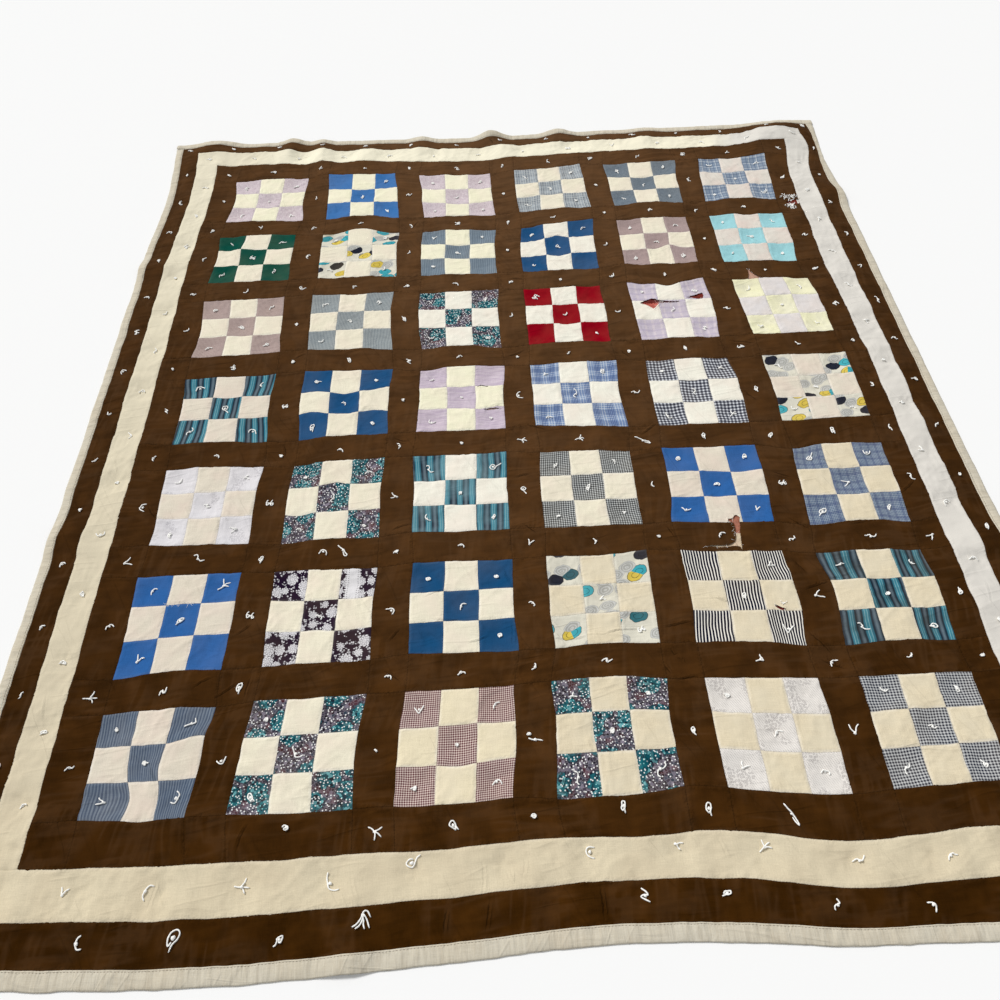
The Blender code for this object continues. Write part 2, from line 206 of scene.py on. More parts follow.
def softNoise(a, b, seed):
    # smooth random waves about one unit long, from -1 to 1
    tile = 64
    heights = np.random.default_rng(seed).uniform(-1, 1, (tile, tile))
    i, j = np.floor(a).astype(int), np.floor(b).astype(int)
    s, t = a - i, b - j
    s, t = s * s * (3 - 2 * s), t * t * (3 - 2 * t)
    i, j, k, m = i % tile, j % tile, (i + 1) % tile, (j + 1) % tile
    low = heights[i, j] * (1 - s) + heights[k, j] * s
    high = heights[i, m] * (1 - s) + heights[k, m] * s
    return low * (1 - t) + high * t


def smooth(t):
    t = np.clip(t, 0, 1)
    return t * t * (3 - 2 * t)


def pulled(u, v):
    # a sewn point's place on the floor
    x, y = u.copy(), v.copy()
    for atU, atV, reach, right, away in pulls:
        weight = np.exp(-((u - atU) ** 2 + (v - atV) ** 2) / reach**2)
        x += weight * right
        y += weight * away
    low, high = (u.min(), v.min()), (u.max(), v.max())
    for atU, atV, reach, right, away in tugs:
        far = 2.6 * reach
        if low[0] - far < atU < high[0] + far and low[1] - far < atV < high[1] + far:
            weight = np.exp(-((u - atU) ** 2 + (v - atV) ** 2) / reach**2)
            x += weight * right
            y += weight * away
    for way, seed in ((x, 11), (y, 13)):
        stray = softNoise(u / 0.050, v / 0.050, seed) + 0.4 * softNoise(u / 0.017, v / 0.017, seed + 1)
        way += crumple["wander"] * stray
    return x - quilt["centre"][0], y - quilt["centre"][1]


def lift(u, v):
    # how far the underside is off the floor
    height = np.zeros_like(u)
    for atU, atV, heading, halfLength, halfWidth, crest in ridges:
        turn = math.radians(heading)
        along = (u - atU) * math.cos(turn) + (v - atV) * math.sin(turn)
        across = (v - atV) * math.cos(turn) - (u - atU) * math.sin(turn)
        height += crest * np.exp(-((along / halfLength) ** 2) - (across / halfWidth) ** 2)
    return np.maximum(0, height - quilt["floorPlay"])


def loft(u, v):
    half = pitch / 2
    dimple = (np.cos(np.pi * (u + v) / half) * np.cos(np.pi * (u - v) / half)) ** 2
    return quilt["puffed"] - (quilt["puffed"] - quilt["tied"]) * dimple


def fromMiddle(w, count):
    # distance from the middle of the nearest block, along one way
    nearest = np.clip(np.rint(w / pitch + (count - 1) / 2), 0, count - 1)
    return w - (nearest - (count - 1) / 2) * pitch


def insideRing(u, v, ring):
    # how far inside one of the border's sewn lines
    return np.minimum.reduce([
        u - quilt["left"][ring], quilt["right"][ring] - u,
        v - quilt["foot"][ring], quilt["head"][ring] - v,
    ])


def seamDistances(u, v):
    # to the nearest strong seam, and to the nearest seam between two brown pieces
    a, b = np.abs(fromMiddle(u, columns)), np.abs(fromMiddle(v, rows))
    edge, field = blockSize / 2, insideRing(u, v, 0) >= -1e-6
    far = np.ones_like(u)
    inBlock = (a <= edge + 1e-6) & (b <= edge + 1e-6)
    strong = np.where(inBlock, np.minimum(np.abs(a - patchSize / 2), np.abs(b - patchSize / 2)), far)
    besideU = np.abs(a - edge) + np.maximum(0, b - edge) * 1.5
    besideV = np.abs(b - edge) + np.maximum(0, a - edge) * 1.5
    strong = np.where(field, np.minimum.reduce([strong, besideU, besideV]), far)
    for ring in range(3):
        strong = np.minimum(strong, np.abs(insideRing(u, v, ring)))
    faint = np.where(field, np.minimum(np.abs(a - edge), np.abs(b - edge)), far)
    return strong, faint


def tieDistance(u, v):
    # to the nearest knot, and the angle round it
    step = pitch / 2
    found, angle = np.full_like(u, 1.0), np.zeros_like(u)
    for shift in (0.0, 0.5):
        du = u - (np.rint(u / step - shift) + shift) * step
        dv = v - (np.rint(v / step - shift) + shift) * step
        away = np.hypot(du, dv)
        nearer = away < found
        found, angle = np.where(nearer, away, found), np.where(nearer, np.arctan2(dv, du), angle)
    return found, angle


# long thin folds of the top cloth: seed, heading, half length and width
foldRuns = [(21, 35, 0.060, 0.013), (22, -28, 0.070, 0.015), (23, 82, 0.050, 0.012)]


def creases(u, v):
    height = np.zeros_like(u)
    for seed, heading, halfLong, wide in foldRuns:
        turn = math.radians(heading)
        along = (u * math.cos(turn) + v * math.sin(turn)) / halfLong
        across = (v * math.cos(turn) - u * math.sin(turn)) / wide
        fold = np.clip(1 - 3.2 * np.abs(softNoise(along, across, seed)), 0, 1) ** 2
        height += fold * smooth(0.5 + 1.4 * softNoise(u / 0.09, v / 0.09, seed + 10))
    return height


def creaseDistance(u, v):
    # across to the nearest sharp crease, below zero on one side, and how strong it is there
    found, strength = np.full_like(u, 0.02), np.zeros_like(u)
    for k, (startU, startV, endU, endV) in enumerate(creaseLines):
        length = math.hypot(endU - startU, endV - startV)
        alongU, alongV = (endU - startU) / length, (endV - startV) / length
        t = ((u - startU) * alongU + (v - startV) * alongV) / length
        bow = 0.07 * length * math.sin(k * 2.4) * np.sin(np.pi * np.clip(t, 0, 1))
        away = (v - startV) * alongU - (u - startU) * alongV - bow
        nearer = (t > -0.3) & (t < 1.3) & (np.abs(away) < np.abs(found))
        ends = np.clip(np.minimum(t, 1 - t) * 3.5, 0, 1)
        found = np.where(nearer, away, found)
        strength = np.where(nearer, ends * np.clip((0.012 - np.abs(away)) / 0.004, 0, 1), strength)
    return found, strength


def topHeight(u, v):
    # the top cloth's height over the floor
    strong, faint = seamDistances(u, v)
    knot, angle = tieDistance(u, v)
    full = crumple["thinEdge"] + (1 - crumple["thinEdge"]) * smooth(insideRing(u, v, 2) / 0.040)
    cloth = loft(u, v) * full
    cloth -= crumple["seam"] * np.exp(-((strong / crumple["seamWide"]) ** 2))
    cloth -= crumple["faintSeam"] * np.exp(-((faint / crumple["faintWide"]) ** 2)) * (strong > 0.004)
    cloth -= crumple["pinch"] * np.exp(-((knot / crumple["pinchWide"]) ** 2))
    folds = np.cos(5 * angle + 40 * softNoise(u / 0.2, v / 0.2, 31))
    cloth += crumple["star"] * np.exp(-((knot / crumple["starWide"]) ** 2)) * folds
    cloth += crumple["swell"] * softNoise(u / 0.055, v / 0.055, 32) * full
    cloth += crumple["crease"] * creases(u, v) * full
    cloth += crumple["pucker"] * softNoise(u / 0.009, v / 0.009, 33) * np.exp(-((strong / 0.010) ** 2))
    # gathers across the borders
    outside = smooth(-insideRing(u, v, 0) / 0.010)
    pastSide = np.maximum(quilt["left"][0] - u, u - quilt["right"][0])
    upright = pastSide > np.maximum(quilt["foot"][0] - v, v - quilt["head"][0])
    along, across = np.where(upright, v, u), np.where(upright, u, v)
    gather = softNoise(along / 0.015, across / 0.070, 34) + 0.7 * softNoise(along / 0.034, across / 0.090, 35)
    cloth += crumple["gather"] * gather * outside * (0.45 + 0.55 * np.exp(-((strong / 0.018) ** 2))) * full
    return lift(u, v) + np.maximum(cloth, crumple["thinnest"])


def fromBlock(row, column, places):
    # places in millimetres from the middle of a block
    middleU, middleV = blockMiddle(row, column)
    return [(middleU + right * millimetre, middleV + up * millimetre) for right, up in places]


# tears, in sewn metres: what they go through, and the cloth that shows in them by two of its corners
tears = [
    {   # a three-cornered tear below a blue block
        "through": ("sash_strip_6", "block_r5_c5"),
        "outline": [
            (0.411, -0.339), (0.417, -0.345), (0.414, -0.364), (0.411, -0.380), (0.408, -0.404),
            (0.406, -0.424), (0.404, -0.414), (0.393, -0.411), (0.368, -0.415), (0.344, -0.413),
            (0.344, -0.411), (0.368, -0.410), (0.388, -0.406), (0.397, -0.401), (0.401, -0.388),
            (0.403, -0.373), (0.403, -0.358), (0.394, -0.354), (0.394, -0.349), (0.402, -0.348),
            (0.408, -0.341)],
        "linings": [
            ("tornSalmon", [(0.386, -0.380), (0.428, -0.330)]),
            ("tornCream", [(0.336, -0.430), (0.420, -0.380)])],
        "threads": 34,
    },
    {   # a long rip along the seam of a lilac block
        "through": ("block_r3_c5",),
        "outline": fromBlock(2, 4, [
            (-78, 22), (-66, 32), (-52, 38), (-39, 37), (-30, 31), (-18, 29), (-1, 27), (16, 27), (16, 24),
            (-1, 23), (-18, 23), (-30, 21), (-38, 13), (-47, 3), (-57, 11), (-67, 18)]),
        "linings": [
            ("tornMaroon", fromBlock(2, 4, [(-86, 22), (24, 44)])),
            ("tornRose", fromBlock(2, 4, [(-86, -4), (-22, 25)]))],
        "threads": 40,
    },
    {   # and a shorter one beside it
        "through": ("block_r3_c5",),
        "outline": fromBlock(2, 4, [
            (36, 36), (52, 44), (67, 49), (80, 52), (81, 43), (77, 34), (67, 32), (57, 35), (48, 37)]),
        "linings": [("tornMaroon", fromBlock(2, 4, [(30, 26), (88, 58)]))],
        "threads": 16,
    },
    {   # a pointed one over the pale yellow block
        "through": ("sash_strip_3", "block_r3_c6"),
        "outline": [
            (0.593, 0.354), (0.598, 0.366), (0.602, 0.382), (0.605, 0.398),
            (0.608, 0.382), (0.614, 0.368), (0.622, 0.360), (0.634, 0.354)],
        "linings": [("tornTan", [(0.586, 0.346), (0.642, 0.404)])],
        "threads": 12,
    },
    # a dark maroon sheet under the nick stands for painted shadow beneath the torn cloth
    {   # a nick in the striped block
        "through": ("block_r6_c5",),
        "outline": fromBlock(5, 4, [
            (49, -21), (54, -23), (62, -27), (69, -29), (63, -32), (54, -29), (50, -26)]),
        "linings": [("tornMaroon", fromBlock(5, 4, [(42, -38), (76, -14)]))],
        "threads": 6,
    },
    # a dull brown sheet under the slits stands for their painted shadow
    {   # slits beside the seams of the crinkled lilac block
        "through": ("block_r4_c3",),
        "outline": fromBlock(3, 2, [(48, -35), (60, -33), (75, -35), (88, -39), (75, -40), (60, -38)]),
        "linings": [("tornBrown", fromBlock(3, 2, [(40, -46), (94, -27)]))],
        "threads": 2,
    },
    {
        "through": ("block_r4_c3",),
        "outline": fromBlock(3, 2, [(36, 31), (48, 34), (62, 30), (60, 28), (48, 31), (38, 29)]),
        "linings": [("tornBrown", fromBlock(3, 2, [(30, 24), (68, 38)]))],
        "threads": 1,
    },
    # a dark maroon sheet under the wadding stands for painted shadow in the hole
    {   # wadding coming out beside the right-hand band
        "through": ("sash_strip_2",),
        "outline": [
            (0.770, 0.672), (0.780, 0.677), (0.794, 0.676), (0.804, 0.671), (0.800, 0.660), (0.788, 0.657),
            (0.774, 0.663)],
        "linings": [("tornMaroon", [(0.762, 0.648), (0.812, 0.686)])],
        "threads": 8,
    },
]


farFromSeam = 0.03           # seams further off than this don't count


def flatPoints(piece):
    points = np.empty(len(piece.data.vertices) * 3, np.float64)
    piece.data.vertices.foreach_get("co", points)
    return points.reshape(-1, 3)


def setPoints(piece, points):
    piece.data.vertices.foreach_set("co", points.astype(np.float32).ravel())
    piece.data.update()


def even(start, end, step):
    return np.linspace(start, end, max(2, round(abs(end - start) / step) + 1))


def drawnIn(start, end, count):
    # cells that get closer towards both seams
    t = np.linspace(0, 1, count + 1)
    return start + (t - 0.055 * np.sin(2 * np.pi * t)) * (end - start)


def joinedLines(*runs):
    lines = [runs[0]]
    for run in runs[1:]:
        lines.append(run[1:])
    return np.concatenate(lines)


def cutCloth(name, uLines, vLines):
    # a flat piece with its grid on these lines
    bpy.ops.object.select_all(action="DESELECT")
    across, along = len(uLines) - 1, len(vLines) - 1
    bpy.ops.mesh.primitive_grid_add(x_subdivisions=across, y_subdivisions=along, size=2)
    piece = bpy.context.object
    piece.name = piece.data.name = name
    points = flatPoints(piece)
    points[:, 0] = uLines[np.rint((points[:, 0] + 1) / 2 * across).astype(int)]
    points[:, 1] = vLines[np.rint((points[:, 1] + 1) / 2 * along).astype(int)]
    setPoints(piece, points)
    return piece


def cornerPoints(mesh):
    # the point at each corner of each face
    corners = np.empty(len(mesh.loops), np.int32)
    mesh.loops.foreach_get("vertex_index", corners)
    return corners


def faceMiddles(mesh):
    middles = np.empty(len(mesh.polygons) * 3)
    mesh.polygons.foreach_get("center", middles)
    return middles.reshape(-1, 3)


def setPattern(mesh, places):
    # the cut's own coordinates, which its pattern follows
    for layer in list(mesh.uv_layers):
        mesh.uv_layers.remove(layer)
    mesh.uv_layers.new(name="cut").data.foreach_set("uv", places.astype(np.float32).ravel())


def markPoints(mesh, name, values):
    mesh.attributes.new(name, "FLOAT", "POINT").data.foreach_set("value", values.astype(np.float32))


def markCloth(piece, shiftOf):
    # the pattern's place, and how near each point is to a seam and to a crease
    mesh, points = piece.data, flatPoints(piece)
    owners = np.repeat(np.arange(len(mesh.polygons)), [p.loop_total for p in mesh.polygons])
    middles, corners = faceMiddles(mesh), cornerPoints(mesh)
    shift, turn = shiftOf(middles[:, 0], middles[:, 1])
    u, v = points[corners, 0], points[corners, 1]
    c, s = np.cos(turn[owners]), np.sin(turn[owners])
    setPattern(mesh, np.stack([u * c - v * s + shift[owners, 0], u * s + v * c + shift[owners, 1]], 1))
    strong, faint = seamDistances(points[:, 0], points[:, 1])
    markPoints(mesh, "seam", np.minimum(np.minimum(strong, faint), farFromSeam))
    away, strength = creaseDistance(points[:, 0], points[:, 1])
    markPoints(mesh, "fold", away)
    markPoints(mesh, "folded", strength)


def oneShift(seed):
    # the whole piece is cut from one place on its bolt
    place = np.random.default_rng(seed).uniform(0, 0.5, 2)
    return lambda u, v: (np.tile(place, (len(u), 1)), np.zeros(len(u)))


def settle(piece, heightOf):
    # a flat piece's points go to their places over the floor
    points = flatPoints(piece)
    u, v = points[:, 0].copy(), points[:, 1].copy()
    points[:, 0], points[:, 1] = pulled(u, v)
    points[:, 2] = heightOf(u, v)
    setPoints(piece, points)
    piece.data.shade_smooth()


def layCloth(piece, own=None):
    # lay the flat piece over the filling; what is past its own seams is tucked under its neighbour
    def heightOf(u, v):
        height = topHeight(u, v)
        if own:
            past = np.maximum.reduce([own[0] - u, u - own[1], own[2] - v, v - own[3], np.zeros_like(u)])
            height -= crumple["tuck"] * smooth(past / crumple["tuckWide"])
        return height
    settle(piece, heightOf)


def turnOver(piece):
    bpy.ops.object.select_all(action="DESELECT")
    piece.select_set(True)
    bpy.context.view_layer.objects.active = piece
    bpy.ops.object.mode_set(mode="EDIT")
    bpy.ops.mesh.select_all(action="SELECT")
    bpy.ops.mesh.flip_normals()
    bpy.ops.object.mode_set(mode="OBJECT")


def dress(piece, slot, *nodes):
    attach(piece, "root")
    if nodes:
        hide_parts(*nodes)


def insideOutline(u, v, outline):
    inside = np.zeros(u.shape, bool)
    for (aU, aV), (bU, bV) in zip(outline, outline[1:] + outline[:1]):
        if aV != bV:
            crosses = (aV > v) != (bV > v)
            inside ^= crosses & (u < (bU - aU) * (v - aV) / (bV - aV) + aU)
    return inside


def outlineDistance(u, v, outline):
    found = np.full(u.shape, 1.0)
    for (aU, aV), (bU, bV) in zip(outline, outline[1:] + outline[:1]):
        span = (bU - aU) ** 2 + (bV - aV) ** 2
        t = np.clip(((u - aU) * (bU - aU) + (v - aV) * (bV - aV)) / span, 0, 1)
        found = np.minimum(found, np.hypot(u - aU - t * (bU - aU), v - aV - t * (bV - aV)))
    return found


# how a tear's cloth is cut finer, step by step: cuts, and how far from its edge
tearCuts = [(2, 0.0050), (2, 0.0024), (1, 0.0010)]
raggedEdge = {"height": 0.0007, "length": 0.0016}


def tearOpen(piece):
    # cut finer cells beside each tear, then take out those inside it
    for tear in tears:
        if piece.name not in tear["through"]:
            continue
        work = bmesh.new()
        work.from_mesh(piece.data)
        for cuts, reach in tearCuts:
            middles = np.array([face.calc_center_median()[:2] for face in work.faces])
            close = outlineDistance(middles[:, 0], middles[:, 1], tear["outline"]) < reach
            edges = {edge for face, near in zip(list(work.faces), close) if near for edge in face.edges}
            bmesh.ops.subdivide_edges(work, edges=list(edges), cuts=cuts, use_grid_fill=True)
        middles = np.array([face.calc_center_median()[:2] for face in work.faces])
        length = raggedEdge["length"]
        ragged = raggedEdge["height"] * softNoise(middles[:, 0] / length, middles[:, 1] / length, 71)
        gone = insideOutline(middles[:, 0] + ragged, middles[:, 1] - ragged, tear["outline"])
        bmesh.ops.delete(work, geom=[f for f, out in zip(list(work.faces), gone) if out], context="FACES")
        work.to_mesh(piece.data)
        work.free()


def joinPieces(pieces, name):
    bpy.ops.object.select_all(action="DESELECT")
    for piece in pieces:
        piece.select_set(True)
    bpy.context.view_layer.objects.active = pieces[0]
    bpy.ops.object.join()
    pieces[0].name = pieces[0].data.name = name
    return pieces[0]


cameraSetup = {
    "lens": 29.51,
    "sensor": 36.0,
    "eye": (-0.0439, -1.2298, 1.3530),
    "looks": (0.00434, 0.58346, -0.81213),
    "up": (0.04390, 0.81125, 0.58306),
    "near": 0.05,
    "far": 60,
}
lightSetup = {
    "room": 0.46,            # soft light from everywhere
    "roomColour": (0.96, 0.98, 1.0, 1),
    "window": 2.50,          # broad light from the head end, to the left
    "windowColour": (1.0, 0.985, 0.96),
    "windowSpread": 18,
    "windowFrom": (-0.60, 0.55, 0.80),
    "floor": (0.95, 0.95, 0.95, 1),
    "floorSize": 26.0,
    "floorDrop": 0.0004,
    "floorRoughness": 0.9,
    "floorShine": 0.1,
}


def setCamera(setup):
    lens = bpy.data.cameras.new("camera")
    lens.lens, lens.sensor_width, lens.sensor_fit = setup["lens"], setup["sensor"], "HORIZONTAL"
    lens.clip_start, lens.clip_end = setup["near"], setup["far"]
    camera = bpy.data.objects.new("camera", lens)
    bpy.context.collection.objects.link(camera)
    back = -Vector(setup["looks"]).normalized()
    right = Vector(setup["up"]).cross(back).normalized()
    up = back.cross(right)
    turn = Matrix((right, up, back)).transposed().to_4x4()
    camera.matrix_world = Matrix.Translation(setup["eye"]) @ turn
    bpy.context.scene.camera = camera


def setLight(setup):
    scene = bpy.context.scene
    scene.view_settings.view_transform = "Standard"
    world = bpy.data.worlds.new("room")
    scene.world = world
    world.use_nodes = True
    sky = world.node_tree.nodes["Background"]
    sky.inputs["Color"].default_value = setup["roomColour"]
    sky.inputs["Strength"].default_value = setup["room"]
    window = bpy.data.lights.new("window", "SUN")
    window.energy, window.angle = setup["window"], math.radians(setup["windowSpread"])
    window.color = setup["windowColour"]
    lamp = bpy.data.objects.new("window", window)
    bpy.context.collection.objects.link(lamp)
    lamp.rotation_mode = "QUATERNION"
    lamp.rotation_quaternion = Vector(setup["windowFrom"]).to_track_quat("Z", "Y")


def dye(red, green, blue):
    # a colour as seen, from 0 to 255, made linear
    def linear(c):
        c /= 255
        return c / 12.92 if c <= 0.04045 else ((c + 0.055) / 1.055) ** 2.4
    return (linear(red), linear(green), linear(blue), 1.0)


class Wire:
    # a socket that takes part in sums
    def __init__(self, recipe, socket):
        self.recipe, self.socket = recipe, socket

    def also(self, output):
        return Wire(self.recipe, self.socket.node.outputs[output])

    def __add__(self, other):
        return self.recipe.maths("ADD", self, other)

    def __radd__(self, other):
        return self.recipe.maths("ADD", other, self)

    def __sub__(self, other):
        return self.recipe.maths("SUBTRACT", self, other)

    def __rsub__(self, other):
        return self.recipe.maths("SUBTRACT", other, self)

    def __mul__(self, other):
        return self.recipe.maths("MULTIPLY", self, other)

    def __rmul__(self, other):
        return self.recipe.maths("MULTIPLY", other, self)

    def __truediv__(self, other):
        return self.recipe.maths("DIVIDE", self, other)

    def __mod__(self, other):
        return self.recipe.maths("FLOORED_MODULO", self, other)

    def __abs__(self):
        return self.recipe.maths("ABSOLUTE", self)


class Recipe:
    # one material's nodes
    def __init__(self, name):
        self.material = bpy.data.materials.new(name)
        self.material.use_nodes = True
        self.tree = self.material.node_tree
        self.tree.nodes.clear()
        self.place = self.node("ShaderNodeUVMap", {"uv_map": "cut"})
        self.x = self.split(self.place)
        self.y = self.x.also(1)
        self.seam = self.node("ShaderNodeAttribute", {"attribute_name": "seam"}, out=2)
        self.fold = self.node("ShaderNodeAttribute", {"attribute_name": "fold"}, out=2)
        self.folded = self.node("ShaderNodeAttribute", {"attribute_name": "folded"}, out=2)

    def node(self, kind, settings=None, sockets=None, out=0):
        made = self.tree.nodes.new(kind)
        for name, value in (settings or {}).items():
            if name == "stops":
                for stop in list(made.color_ramp.elements)[1:]:
                    made.color_ramp.elements.remove(stop)
                first, rest = value[0], value[1:]
                made.color_ramp.elements[0].position, made.color_ramp.elements[0].color = first
                for position, colour in rest:
                    made.color_ramp.elements.new(position).color = colour
            else:
                setattr(made, name, value)
        for name, value in (sockets or {}).items():
            if isinstance(value, Wire):
                self.tree.links.new(value.socket, made.inputs[name])
            else:
                made.inputs[name].default_value = value
        return Wire(self, made.outputs[out]) if len(made.outputs) else None

    def maths(self, operation, *values):
        return self.node("ShaderNodeMath", {"operation": operation}, dict(enumerate(values)))

    def clipped(self, value):
        return self.node("ShaderNodeClamp", {}, {0: value})

    def mix(self, share, first, second):
        return self.node("ShaderNodeMix", {"data_type": "RGBA"}, {0: share, 6: first, 7: second}, out=2)

    def split(self, source):
        return self.node("ShaderNodeSeparateXYZ", {}, {0: source})

    def ramp(self, stops, along):
        return self.node("ShaderNodeValToRGB", {"stops": stops}, {0: along})

    def finish(self, colour, roughness, height, shine):
        bump = self.node("ShaderNodeBump", {}, {"Strength": 1.0, "Distance": 1.0, "Height": height})
        shader = self.node("ShaderNodeBsdfPrincipled", {}, {
            "Base Color": colour, "Roughness": roughness, "Normal": bump, "Specular IOR Level": shine})
        self.node("ShaderNodeOutputMaterial", {}, {"Surface": shader})
        return self.material

    def stretched(self, long, wide, turn=0.0):
        settings, sizes = {"vector_type": "TEXTURE"}, (long, wide, 1)
        sockets = {"Vector": self.place, "Rotation": (0, 0, math.radians(turn)), "Scale": sizes}
        return self.node("ShaderNodeMapping", settings, sockets)

    def noise(self, long, wide=None, turn=0.0, detail=1.0, distortion=0.0):
        place = self.stretched(long, wide or long, turn)
        sockets = {"Vector": place, "Scale": 1.0, "Detail": detail, "Distortion": distortion}
        return self.node("ShaderNodeTexNoise", {"noise_dimensions": "2D"}, sockets)

    def cells(self, size, feature="F1", turn=0.0, place=None, randomness=1.0):
        place = place or self.stretched(size, size, turn)
        settings = {"voronoi_dimensions": "2D", "feature": feature}
        sockets = {"Vector": place, "Scale": 1.0, "Randomness": randomness}
        return self.node("ShaderNodeTexVoronoi", settings, sockets)

    def folds(self, long, wide, turn, sharp=16.0, cover=0.50):
        # long thin creases lying one way, here and there
        line = self.clipped(1 - abs(self.noise(long, wide, turn, 1.0, 0.2) - 0.5) * sharp)
        return line * self.clipped((self.noise(0.110, 0.070, turn + 40, 0.0) - cover) * 8)

    def stripes(self, along, size, share, shift=0.0, crisp=9.0):
        # 1 on a stripe and 0 off it, with soft edges
        wave = abs((along / size + shift) % 1.0 - 0.5) * 2
        return self.clipped((share - wave) * crisp + 0.5)


def threads(recipe, size):
    # warp and weft of a plain weave, as a height
    warp = recipe.maths("SINE", recipe.x * (2 * math.pi / size))
    weft = recipe.maths("SINE", recipe.y * (2 * math.pi / size))
    return warp * weft


# how a cotton is worn, and the painted shade and light it gets, where its fabric says nothing else: shares,
# dyes, and heights in metres
plainWearAndShading = {
    "depth": 0.10,           # darker slubs
    "slub": 1.6,
    "uneven": 0.5,           # share of the second dye
    "stain": 0.06,
    "stainDye": dye(196, 170, 128),
    "rim": 0.05,             # paler beside the seams
    "rimDye": (1, 1, 1, 1),
    "fadeMiddle": 0.75,
    "outerSoil": 0.0,        # darker towards the long sides and the foot
    "sides": (),
    "ditch": 0.32,           # the dark line of a seam
    # the dark dye of painted shade in seams, folds and hollows, also of stitch holes and of the darkening
    # towards the outer edges
    "ditchDye": dye(80, 60, 44),
    "foldShade": 0.03,
    "valleyShade": 0.14,
    "crease": 0.00045,
    "fold": 0.0008,
    "wave": 0.0017,
    "ripple": 0.0007,
    "grain": 0.00018,
    "pucker": 0.0010,
    "thread": 0.0007,        # from one thread to the next
    "weave": 0.000016,
    "roughness": 0.84,
}


def finishCloth(recipe, colour, look):
    # wear, slubs, creases, painted shade and light, and the shader that every cotton shares
    look = {**plainWearAndShading, **look}
    slub = recipe.noise(0.022, 0.0012) + recipe.noise(0.0012, 0.022) - 1.0
    darker = recipe.mix(look["depth"], colour, (0, 0, 0, 1))
    colour = recipe.mix(recipe.clipped(slub * look["slub"] + 0.5), darker, colour)
    if "second" in look:
        # another dye in places
        uneven = recipe.clipped(recipe.noise(0.050, detail=2.0) * 3.0 - 1.1) * look["uneven"]
        colour = recipe.mix(uneven, colour, look["second"])
    stained = recipe.clipped(recipe.noise(0.085, detail=2.0) * 2.2 - 0.75) * look["stain"]
    colour = recipe.mix(stained, colour, look["stainDye"])
    rim = recipe.clipped(1 - recipe.seam / 0.0050) * recipe.clipped(recipe.noise(0.03) * 2.0 - 0.4)
    colour = recipe.mix(rim * look["rim"], colour, look["rimDye"])
    if "faded" in look:
        # painted haze of light: paler towards the head end, and most in the middle where fadeMiddle says so
        spot = recipe.split(recipe.node("ShaderNodeTexCoord", out=3))
        up = recipe.clipped((spot.also(1) + 1.05) / 1.9)
        middle = recipe.clipped(1.15 - abs(spot) * look["fadeMiddle"])
        colour = recipe.mix(up * middle * look["fade"], colour, look["faded"])
        # darker towards the long sides and the foot
        outer = recipe.clipped(abs(spot) * 0.9 - 0.1 - spot.also(1) * 0.35)
        colour = recipe.mix(outer * look["outerSoil"], colour, look["ditchDye"])
        for way, share, sideDye in look["sides"]:
            side = recipe.clipped((spot * way - 0.60) * 10) * recipe.clipped((spot.also(1) + 0.88) * 9)
            colour = recipe.mix(side * share, colour, sideDye)
    ripple = recipe.noise(0.100, 0.018, 4)
    # painted shadow along each seam, broken by its stitch holes
    dashes = abs(recipe.stripes(recipe.x, 0.0046, 0.55) - recipe.stripes(recipe.y, 0.0046, 0.55))
    ditch = recipe.clipped(1.2 - recipe.seam / 0.0010) * (dashes * 0.6 + 0.4)
    if "edging" in look:
        # painted shade in soft hollows and in little drag lines that run in from the seams, and painted
        # highlights on the crests between them
        places = recipe.clipped(recipe.noise(0.13, detail=0.0) * 3 - 1.0)
        hollowShade = recipe.clipped((0.47 - ripple) * 6) * places
        colour = recipe.mix(hollowShade * look["edging"] * 0.9, colour, look["ditchDye"])
        lines = recipe.clipped((recipe.noise(0.0065, detail=2.0) - 0.50) * 6)
        dragShade = recipe.clipped(1 - recipe.seam / 0.013) * lines
        colour = recipe.mix(dragShade * look["edging"], colour, look["ditchDye"])
        crestLight = recipe.folds(0.160, 0.022, 4, 7.0, 0.46) + recipe.folds(0.160, 0.022, 84, 7.0, 0.46)
        colour = recipe.mix(recipe.clipped(crestLight) * look["edging"] * 0.35, colour, look["faded"])
    colour = recipe.mix(ditch * look["ditch"], colour, look["ditchDye"])
    folds = recipe.folds(0.240, 0.034, 9) + recipe.folds(0.190, 0.030, -58)
    waver = recipe.fold + (recipe.noise(0.006) - 0.5) * 0.0026
    valley = recipe.clipped(1 - abs(waver) / 0.0019) * recipe.folded
    crest = recipe.clipped(1 - abs(waver - 0.0044) / 0.0040) * recipe.folded
    # painted shade along the folds and in each sharp crease's valley
    creaseShade = recipe.clipped(folds * look["foldShade"] + valley * valley * look["valleyShade"])
    colour = recipe.mix(creaseShade, colour, look["ditchDye"])
    height = folds * look["crease"] + (crest * crest * 1.5 - valley) * look["fold"]
    height = height + recipe.noise(0.034) * look["wave"]
    height = height + ripple * look["ripple"]
    height = height + recipe.noise(0.011) * look["grain"]
    bySeam = recipe.clipped(1.1 - recipe.seam / 0.0085)
    height = height + bySeam * recipe.noise(0.0046) * look["pucker"]
    height = height + threads(recipe, look["thread"]) * look["weave"]
    if "extraHeight" in look:
        height = height + look["extraHeight"]
    return recipe.finish(colour, recipe.noise(0.006) * 0.12 + look["roughness"], height, 0.02)


def plainCloth(name, look):
    recipe = Recipe(name)
    lighter = tuple(min(1, c * 1.18 + 0.002) for c in look["ground"][:3]) + (1,)
    return finishCloth(recipe, recipe.mix(recipe.noise(0.0022), look["ground"], lighter), look)


